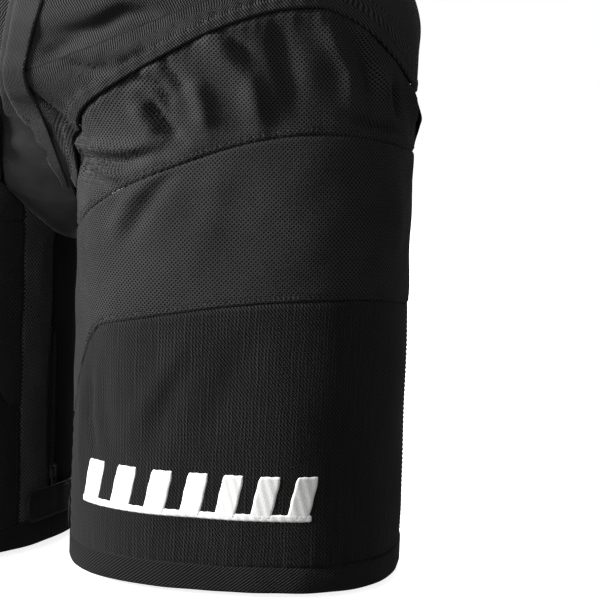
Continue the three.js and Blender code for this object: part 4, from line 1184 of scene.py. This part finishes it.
def gusset():
    """The satin gusset under the crotch, in two halves."""
    edges = []
    for side in ("left", "right"):
        front, under, end = gusset_edge(side)
        front, under = resampled(front, np.linspace(0, 1, 26)), resampled(under, np.linspace(0.02, 1, 52))
        edges.append(np.concatenate([front, under, end]))
    left, right = edges
    rows = len(left)
    row = np.arange(rows)
    u = np.linspace(0, 1, 41)[None, :, None]
    grid = left[:, None] * (1 - u) + right[:, None] * u
    u = u[..., 0]
    bulge = 4 * u * (1 - u)
    below = smooth(10, 30, row)[:, None]
    grid[..., 1] -= bulge * (1.5 + 3.0 * np.exp(-(((row[:, None] - 17) / 7) ** 2))) * (1 - 0.7 * below)
    grid[..., 2] -= bulge * 5.0 * below * smooth(rows - 1, rows - 12, row)[:, None]
    length = lengths_along(grid[:, 20])
    across = u * np.linalg.norm(left - right, axis=1)[:, None]
    wrinkle = 0.8 * ripples(across, length[:, None] * 1.4, 24, 5) + 1.2 * fold_wave(across, length[:, None])
    grid[..., 1] -= wrinkle * bulge * (1 - below)
    grid[..., 2] -= 0.6 * wrinkle * bulge * below
    weave = np.stack([across, length[:, None] + 0 * u, 0 * across], -1)
    for side, columns, tucked in (("left", slice(0, 22), -1), ("right", slice(19, 41), 0)):
        half = grid[:, columns].copy()  # the tucked column hides behind the other half's edge
        half[:, tucked] += np.stack([0 * row, 0.3 * (1 - below[:, 0]), 0.3 * below[:, 0]], -1)
        gusset_half(side, half, weave[:, columns])


def fold_wave(across, along):
    """Slanting folds that run down from the foot of the fly."""
    return np.sin((across * 0.8 + along) / 4.2) * np.exp(-(((along - 26) / 20) ** 2))


def gusset_half(side, grid, weave):
    shape = Shape()
    shape.sheet(grid, 1.3, weave, crisp=True)
    piece = shape.piece(f"{side}_gusset_satin", ["satin"])
    declare(piece, "crotch_gusset", None)
    blend_to_leg(piece)


# ---- Waistband and belt ----


def waistband(side):
    def relief(d, s, h, low, high, first, last):
        edge = np.minimum(low, high)
        return (1.0 + 0.9 * smooth(0, 7, edge) + edge_dip(edge, 1.2, 1.2) + stitch_dip(low, (4.5,), 0.5)
                + stitch_dip(high, (4.5,), 0.5) + 0.5 * ripples(s, h, 50, 7)
                + pucker(s, np.abs(low - 4.5), 9, 0.3))

    cloth_panel("waistband_cloth", "trunk", "band",
                (lambda height: 1.0, -20, ARC_IN + 1), (lambda height: 1.0, 200, INNER_BACK - 1),
                level(BAND_BOTTOM - 1.6), level(LENGTH), relief, side, thickness=4.2,
                stitched=(("low", 4.5), ("high", 4.5)), replaced="waistband", step=3.4)


def belt(side):
    """One end of the belt, drawn straight across the waistband."""
    low, high = box_mm(f"{side}_belt_strap")
    x = low[0] + (high[0] - low[0]) * np.linspace(0, 1, 60)
    middle = np.stack([x, np.full(60, high[1]), np.full(60, (low[2] + high[2]) / 2 + LENGTH)], -1)
    middle[:, 1] += 0.12 * np.sin(x / 9.0) - 0.06
    shape = Shape()
    shape.tube(middle[::-1], UP, FORWARD, swept_profile(24.8, 1.5, 0.7, 0.15))
    declare(shape.piece(f"{side}_belt_webbing", ["webbing"]), f"{side}_belt_strap",
            "belt_left_end" if side == "left" else "trunk")


def belt_loop(side):
    """A folded keeper sewn to the waistband above and below the strap."""
    low, high = box_mm("left_belt_loop")
    front, back = low[1] + 0.9, high[1] - 0.6
    bottom, top = low[2] + LENGTH + 1.2, high[2] + LENGTH - 1.2
    path = [(back, bottom - 1.0), (back - 1.5, bottom), (front + 3, bottom), (front, bottom + 3.2)]
    path += [(front - 0.2, z) for z in np.linspace(bottom + 6, top - 6, 9)]
    path += [(front, top - 3.2), (front + 3, top), (back - 1.5, top), (back, top + 1.0)]
    fine = rounded(np.array([(0.0, y, z) for y, z in path]))
    fine[:, 0] = (low[0] + high[0]) / 2
    across = np.array((1.0, 0.0, 0.0))
    out = np.cross(across, unit(np.gradient(fine, axis=0)))
    shape = Shape()
    shape.tube(fine - out * 0.7, across, out, swept_profile(11.6, 1.4, 0.6))
    piece = shape.piece(f"{side}_belt_keeper", ["webbing"], side)
    declare(piece, f"{side}_belt_loop", "trunk")


def rounded(points):
    """A smooth path near a few given points: their corners are cut twice."""
    for _ in range(2):
        cut = np.empty((2 * len(points) - 2, points.shape[1]))
        cut[0::2] = points[:-1] * 0.75 + points[1:] * 0.25
        cut[1::2] = points[:-1] * 0.25 + points[1:] * 0.75
        points = np.concatenate([points[:1], cut, points[-1:]])
    return points


def hard_parts():
    """Moulded CAD parts that stay as they are, with softened edges and their own finish."""
    names = {
        "plastic": ["buckle_socket", "buckle_plug"] + [
            f"{side}_brace_button_{place}" for side in BODIES for place in ("inner", "outer")],
        "slider": [f"{side}_zip_{part}" for side in BODIES for part in ("slider", "pull")],
        "guard": [f"{side}_{part}" for side in BODIES for part in ("thigh_guard", "hip_cap")],
    }
    for finish, nodes in names.items():
        for name in nodes:
            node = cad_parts[name]
            node.data.materials.clear()
            node.data.materials.append(MATERIALS[finish])
            bevel = node.modifiers.new("soft edges", "BEVEL")
            bevel.width = 0.0002 if finish == "slider" else 0.0006
            bevel.segments, bevel.limit_method, bevel.angle_limit = 3, "ANGLE", math.radians(35)


# ---- Pads ----


def rounding(edge, drop):
    """How far a pad's face has fallen at a distance from its edge: a quarter round, 6 mm wide."""
    return drop * (1 - np.sqrt(1 - np.clip(1 - edge / 6, 0, 1) ** 2)) * 0.75


def pad_shape(first, last, bottom, top, inset, thickness, shrink=2.2):
    """A closed slab with rounded edges, a little smaller than its pocket."""
    columns = int((last - first) * MM_PER_DEGREE / 5)
    rows = int((top - bottom) / 5)
    u, v = np.meshgrid(np.linspace(0, 1, columns), np.linspace(0, 1, rows))
    first, last = first + shrink / MM_PER_DEGREE, last - shrink / MM_PER_DEGREE
    degrees = first + (last - first) * u
    height = bottom + shrink + (top - bottom - 2 * shrink) * v
    wide, tall = (last - first) * MM_PER_DEGREE, top - bottom
    edge = np.minimum(np.minimum(u, 1 - u) * wide, np.minimum(v, 1 - v) * tall)
    thin = rounding(edge, 0.5 * (thickness - 2.5))
    shape = Shape()
    outer = surface(degrees, height, inset + 1.2 + thin)
    inner = surface(degrees, height, inset + thickness - 1.2 - thin)
    shape.slab(outer, inner)
    return shape


def swell(piece, cap, voxel=0.005, frames=20):
    """Inflates a closed piece as cloth under pressure, and keeps each point within cap metres."""
    scene = bpy.context.scene
    remesh = piece.modifiers.new("remesh", "REMESH")
    remesh.mode, remesh.voxel_size, remesh.use_smooth_shade = "VOXEL", voxel, True
    keep_modified(piece)
    start = np.array([v.co for v in piece.data.vertices])
    cloth = piece.modifiers.new("cloth", "CLOTH")
    cloth.settings.use_pressure = True
    cloth.settings.uniform_pressure_force = 4
    cloth.settings.effector_weights.gravity = 0
    cloth.settings.quality = 5
    for number in range(1, frames + 1):
        scene.frame_set(number)
    keep_modified(piece)
    moved = np.array([v.co for v in piece.data.vertices])
    step = moved - start
    far = np.linalg.norm(step, axis=1, keepdims=True)
    step = step * np.minimum(1, cap / np.maximum(far, 1e-9))
    piece.data.vertices.foreach_set("co", (start + step).astype(np.float32).ravel())
    scene.frame_set(1)


def keep_modified(piece):
    """Replaces a piece's mesh by the mesh that its modifiers make."""
    bpy.context.view_layer.update()
    made = piece.evaluated_get(bpy.context.evaluated_depsgraph_get())
    mesh = bpy.data.meshes.new_from_object(made)
    piece.modifiers.clear()
    piece.data = mesh


def quilt(piece, channels, depth):
    """Presses sewn channels into a pad: each is a height, in metres from the waist."""
    mesh = piece.data
    co = np.array([v.co for v in mesh.vertices])
    n = np.array([v.normal for v in mesh.vertices])
    dip = sum(np.exp(-(((co[:, 2] - place) / 0.003) ** 2)) for place in channels)
    mesh.vertices.foreach_set("co", (co - n * dip[:, None] * depth).astype(np.float32).ravel())


def pads():
    """Foam pads, swelled as cloth; the right ones mirror the left."""
    kinds = (
        ("thigh_pad", "leg", (-45, 99, 36, 206, 5.0), (0.25, 0.5, 0.75)),
        ("hip_pad", "trunk", (63, 126, 406, 510, 6.7), (0.5,)),
        ("kidney_pad", "trunk", (144, 207, 424, 514, 3.1), (0.5,)),
    )
    for name, where, (first, last, bottom, top, inset), channels in kinds:
        shape = pad_shape(first, last, bottom, top, inset, 12.0)
        left = shape.piece(f"left_{name}_foam", ["foam"])
        finish_pad(left, [(bottom + (top - bottom) * c - LENGTH) / 1000 for c in channels])
        right = left.copy()
        right.data = left.data.copy()
        right.name = f"right_{name}_foam"
        right.data.transform(Matrix.Scale(-1, 4, (1, 0, 0)))
        right.data.flip_normals()
        bpy.context.scene.collection.objects.link(right)
        for side, piece in (("left", left), ("right", right)):
            declare(piece, f"{side}_{name}", BODIES[side] if where == "leg" else "trunk")


def finish_pad(piece, channels):
    """Swells, quilts and smooths a pad."""
    swell(piece, 0.0022)
    quilt(piece, channels, 0.0014)
    smooth_more = piece.modifiers.new("fine", "SUBSURF")
    smooth_more.levels = smooth_more.render_levels = 1
    keep_modified(piece)
    if not len(piece.data.materials):
        piece.data.materials.append(MATERIALS["foam"])
    piece.data.polygons.foreach_set("use_smooth", np.ones(len(piece.data.polygons), bool))


def spine_pad():
    """The pad in the middle of the back, inside the seat panels."""
    low, high = box_mm("spine_pad")
    z = np.linspace(low[2] + 2.5, high[2] - 2.5, 24) + LENGTH
    x = np.linspace(low[0] + 2.5, high[0] - 2.5, 15)
    grid_x, grid_z = np.meshgrid(x, z)
    angles = np.arange(200.0, 268.0, 0.5)
    depth = np.empty(grid_x.shape)
    for i, h in enumerate(z):
        line = surface(angles, h)
        order = np.argsort(line[:, 0])
        depth[i] = np.interp(np.abs(x), line[order, 0], line[order, 1])
    edge = np.minimum((x[-1] - np.abs(grid_x)), np.minimum(grid_z - z[0], z[-1] - grid_z))
    thin = rounding(edge, 4.0)
    outer = np.stack([grid_x, depth - 4.0 - thin, grid_z], -1)[:, ::-1]
    inner = np.stack([grid_x, depth - 13.6 + thin, grid_z], -1)[:, ::-1]
    shape = Shape()
    shape.slab(outer, inner)
    piece = shape.piece("spine_pad_foam", ["foam"])
    finish_pad(piece, [(z[0] + (z[-1] - z[0]) * c - LENGTH) / 1000 for c in (0.33, 0.67)])
    declare(piece, "spine_pad", "trunk")


# ---- Camera, light and floor ----

CAMERA_TARGET = Vector((0.182, 0.0, -0.361))
CAMERA_AZIMUTH, CAMERA_ELEVATION, CAMERA_ROLL = 15.0, 8.0, 2.2
CAMERA_DISTANCE = 1.7
CAMERA_LENS = 132.5
KEY_POWER, FRONT_POWER, BACK_POWER = 120, 14, 70
FILL = 0.23  # the world's light on the object; the camera sees it at full strength
FLOOR_GLOW = 0.85


def camera_axes():
    """The camera's right, up and back directions."""
    a, e = math.radians(CAMERA_AZIMUTH), math.radians(CAMERA_ELEVATION)
    back = Vector((math.sin(a) * math.cos(e), -math.cos(a) * math.cos(e), math.sin(e)))
    right = Vector((math.cos(a), math.sin(a), 0))
    up = back.cross(right)
    r = math.radians(CAMERA_ROLL)
    return right * math.cos(r) + up * math.sin(r), up * math.cos(r) - right * math.sin(r), back


def add_camera():
    right, up, back = camera_axes()
    place = CAMERA_TARGET + back * CAMERA_DISTANCE
    data = bpy.data.cameras.new("camera")
    data.sensor_width, data.lens = 36, CAMERA_LENS
    camera = bpy.data.objects.new("camera", data)
    turn = Matrix((right, up, back)).transposed().to_4x4()
    camera.matrix_world = Matrix.Translation(place) @ turn
    bpy.context.scene.collection.objects.link(camera)
    bpy.context.scene.camera = camera


def add_light(name, place, target, size, power):
    data = bpy.data.lights.new(name, "AREA")
    data.shape, data.size, data.energy = "DISK", size, power
    light = bpy.data.objects.new(name, data)
    way = Vector(target) - Vector(place)
    light.matrix_world = Matrix.Translation(place) @ way.to_track_quat("-Z", "Y").to_matrix().to_4x4()
    bpy.context.scene.collection.objects.link(light)


def add_studio():
    """Soft light from three sides, a white background and a pale floor."""
    world = bpy.data.worlds.new("world")
    world.use_nodes = True
    tree = world.node_tree
    seen = tree.nodes.new("ShaderNodeLightPath").outputs["Is Camera Ray"]
    strength = tree.nodes.new("ShaderNodeMapRange")
    strength.inputs["To Min"].default_value, strength.inputs["To Max"].default_value = FILL, 1.0
    tree.links.new(seen, strength.inputs["Value"])
    tree.links.new(strength.outputs[0], tree.nodes["Background"].inputs["Strength"])
    tree.nodes["Background"].inputs["Color"].default_value = (1, 1, 1, 1)
    bpy.context.scene.world = world
    bpy.context.scene.view_settings.view_transform = "Standard"
    add_light("key", (-1.35, -1.1, 0.35), (0.1, 0, -0.3), 0.6, KEY_POWER)
    add_light("front", (-0.25, -2.0, 0.5), (0.1, 0, -0.3), 1.4, FRONT_POWER)
    add_light("back", (-0.5, 2.1, 1.0), (0, 0, -0.3), 1.4, BACK_POWER)
    bpy.ops.mesh.primitive_plane_add(size=1)
    floor = bpy.context.object
    floor.name = "floor"
    floor.scale = (12, 12, 1)
    floor.location = (0, 0, cad_box[0][2] - 0.004)
    n = Nodes("pale_floor")
    speck = n.noise(n.place(), 400.0, 2)
    colour = n.mix(speck, (0.86, 0.86, 0.86), (0.9, 0.9, 0.9))
    pale = n.finish(colour, n.scaled(speck, 0.1, 0.8), n.bump(speck, 0.0002, 0.2),
                    Emission_Color=(1, 1, 1, 1), Emission_Strength=FLOOR_GLOW)
    floor.data.materials.append(pale)
    floor.visible_diffuse = floor.visible_glossy = False


add_camera()
add_studio()
for side in ("left", "right"):
    leg_panels(side)
    flex_panels(side)
    trunk_panels(side)
    waistband(side)
    hem_band(side)
    hem_tab(side)
    zip_closure(side)
thigh_mark()
fly()
gusset()
for side in ("left", "right"):
    belt(side)
    belt_loop(side)
hard_parts()
pads()
spine_pad()
